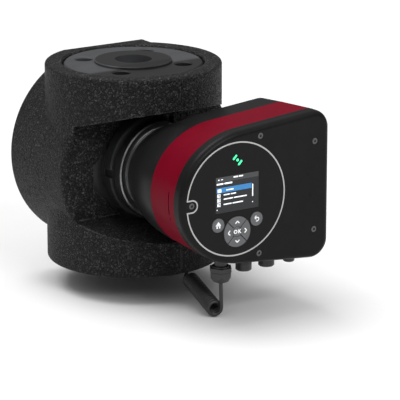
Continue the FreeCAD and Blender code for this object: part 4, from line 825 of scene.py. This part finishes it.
class PUMP_OT_lead(PumpStep, bpy.types.Operator):
    """Make the curly sensor lead from the gland to the sensor"""

    bl_idname = "pump.lead"
    bl_label = "Sensor lead"

    def execute(self, context):
        sizes = context.scene.pump_lead_sizes
        front, rear = (Vector(point) for point in COIL_AXIS)
        inset = (rear - front).normalized() * sizes.wire * 0.5
        axis = smooth_line("coil_axis", [front + inset, (front + rear) / 2, rear - inset])
        coil = curled(axis, sizes.coil_radius, sizes.turns, 0.0)
        bpy.data.objects.remove(axis)
        points = [*LEAD_DROP[:-1], *coil, *LEAD_TAIL[1:]]
        lead = smooth_line("sensor_lead", points, sizes.wire)
        jacket = soft_rubber("lead_jacket", sizes.jacket)
        lead.data.materials.append(jacket.material)
        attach(lead, "root")
        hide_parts(*LEAD_NODES)
        return {"FINISHED"}


# ---------------------------------------------------------------- studio

class PUMP_OT_studio(PumpStep, bpy.types.Operator):
    """Set up the floor, the soft lights, the surroundings and the camera"""

    bl_idname = "pump.studio"
    bl_label = "Studio"

    def execute(self, context):
        sizes = context.scene.pump_studio_sizes
        self.add_floor(sizes)
        self.add_lights()
        self.add_surroundings()
        self.add_camera(context, sizes)
        context.scene.view_settings.view_transform = "Standard"
        return {"FINISHED"}

    @staticmethod
    def add_floor(sizes):
        start_fresh()
        bpy.ops.mesh.primitive_plane_add(size=FLOOR_SIZE, location=(0, 0, CAD_LOW.z - FLOOR_GAP))
        floor = bpy.context.object
        floor.name = "studio_floor"
        finish = Finish("studio_floor", Roughness=0.85, Specular_IOR_Level=0.1)
        paper = finish.noise(60, 2)
        finish.shade(Base_Color=finish.mix(paper, tinted(sizes.floor, 0.99), tinted(sizes.floor, 1.01)))
        floor.data.materials.append(finish.material)

    @staticmethod
    def add_lights():
        """A broad sky light from behind, a soft one in front and a long strip on the left for glints."""
        middle = (CAD_LOW + CAD_HIGH) / 2
        for name, kind, place, settings in (
                ("sky_light", "SUN", (-0.3, 0.4, 1.6), {"energy": 2.0, "angle": math.radians(42)}),
                ("front_light", "AREA", (0.1, -2.2, 1.7),
                 {"energy": 28.0, "shape": "RECTANGLE", "size": 1.6, "size_y": 0.8}),
                ("strip_light", "AREA", (-1.5, -1.1, 0.75),
                 {"energy": 1.2, "shape": "RECTANGLE", "size": 0.16, "size_y": 1.4})):
            start_fresh()
            turn = (Vector(place) - middle).to_track_quat("Z", "Y").to_euler()
            bpy.ops.object.light_add(type=kind, location=place, rotation=turn)
            light = bpy.context.object
            light.name = name
            for key, value in settings.items():
                setattr(light.data, key, value)

    @staticmethod
    def add_surroundings():
        """Air that is bright overhead and falls off to dark at the level of the floor."""
        world = bpy.data.worlds.new("studio_air")
        world.use_nodes = True
        nodes, links = world.node_tree.nodes, world.node_tree.links
        direction = nodes.new("ShaderNodeTexCoord")
        split = nodes.new("ShaderNodeSeparateXYZ")
        fall = nodes.new("ShaderNodeMapRange")
        fall.interpolation_type = "SMOOTHSTEP"
        for key, value in {"From Min": 0.2, "From Max": 0.95, "To Min": 0.12, "To Max": 0.95}.items():
            fall.inputs[key].default_value = value
        links.new(direction.outputs["Generated"], split.inputs[0])
        links.new(split.outputs["Z"], fall.inputs["Value"])
        links.new(fall.outputs[0], nodes["Background"].inputs["Strength"])
        nodes["Background"].inputs["Color"].default_value = (1, 1, 1, 1)
        bpy.context.scene.world = world

    @staticmethod
    def add_camera(context, sizes):
        turn, rise = sizes.turn, sizes.rise
        back = Vector((math.sin(turn) * math.cos(rise), -math.cos(turn) * math.cos(rise), math.sin(rise)))
        right = Vector((math.cos(turn), math.sin(turn), 0))
        up = back.cross(right)
        place = right * sizes.across - up * sizes.below + back * sizes.away + Vector((0, 0, SHAFT_HEIGHT))
        start_fresh()
        bpy.ops.object.camera_add(location=place, rotation=back.to_track_quat("Z", "Y").to_euler())
        camera = bpy.context.object
        camera.data.sensor_width, camera.data.lens = FILM_WIDTH, LENS
        context.scene.camera = camera


# ---------------------------------------------------------------- panel and registration

class PUMP_PT_dressing(bpy.types.Panel):
    """The pump's steps and sizes in the sidebar"""

    bl_label = "Circulator pump"
    bl_idname = "PUMP_PT_dressing"
    bl_space_type = "VIEW_3D"
    bl_region_type = "UI"
    bl_category = "Pump"

    def draw(self, context):
        for step in STEPS:
            self.layout.operator(step.bl_idname)
        for name, kind in GROUPS.items():
            box = self.layout.box()
            for key in kind.__annotations__:
                box.prop(getattr(context.scene, name), key)


GROUPS = {
    "pump_shell_look": ShellLook, "pump_head_look": HeadLook, "pump_panel_look": PanelLook,
    "pump_lead_sizes": LeadSizes, "pump_studio_sizes": StudioSizes,
}
STEPS = (PUMP_OT_studio, PUMP_OT_lead, PUMP_OT_shells, PUMP_OT_motor, PUMP_OT_head, PUMP_OT_panel,
         PUMP_OT_symbols, PUMP_OT_display)


def register():
    for kind in (*GROUPS.values(), *STEPS, PUMP_PT_dressing):
        bpy.utils.register_class(kind)
    for name, kind in GROUPS.items():
        setattr(bpy.types.Scene, name, bpy.props.PointerProperty(type=kind))


def unregister():
    for name in GROUPS:
        delattr(bpy.types.Scene, name)
    for kind in (PUMP_PT_dressing, *reversed(STEPS), *reversed(GROUPS.values())):
        bpy.utils.unregister_class(kind)


def main():
    register()
    for step in STEPS:
        getattr(bpy.ops.pump, step.bl_idname.split(".")[1])()


if __name__ == "__main__":
    main()
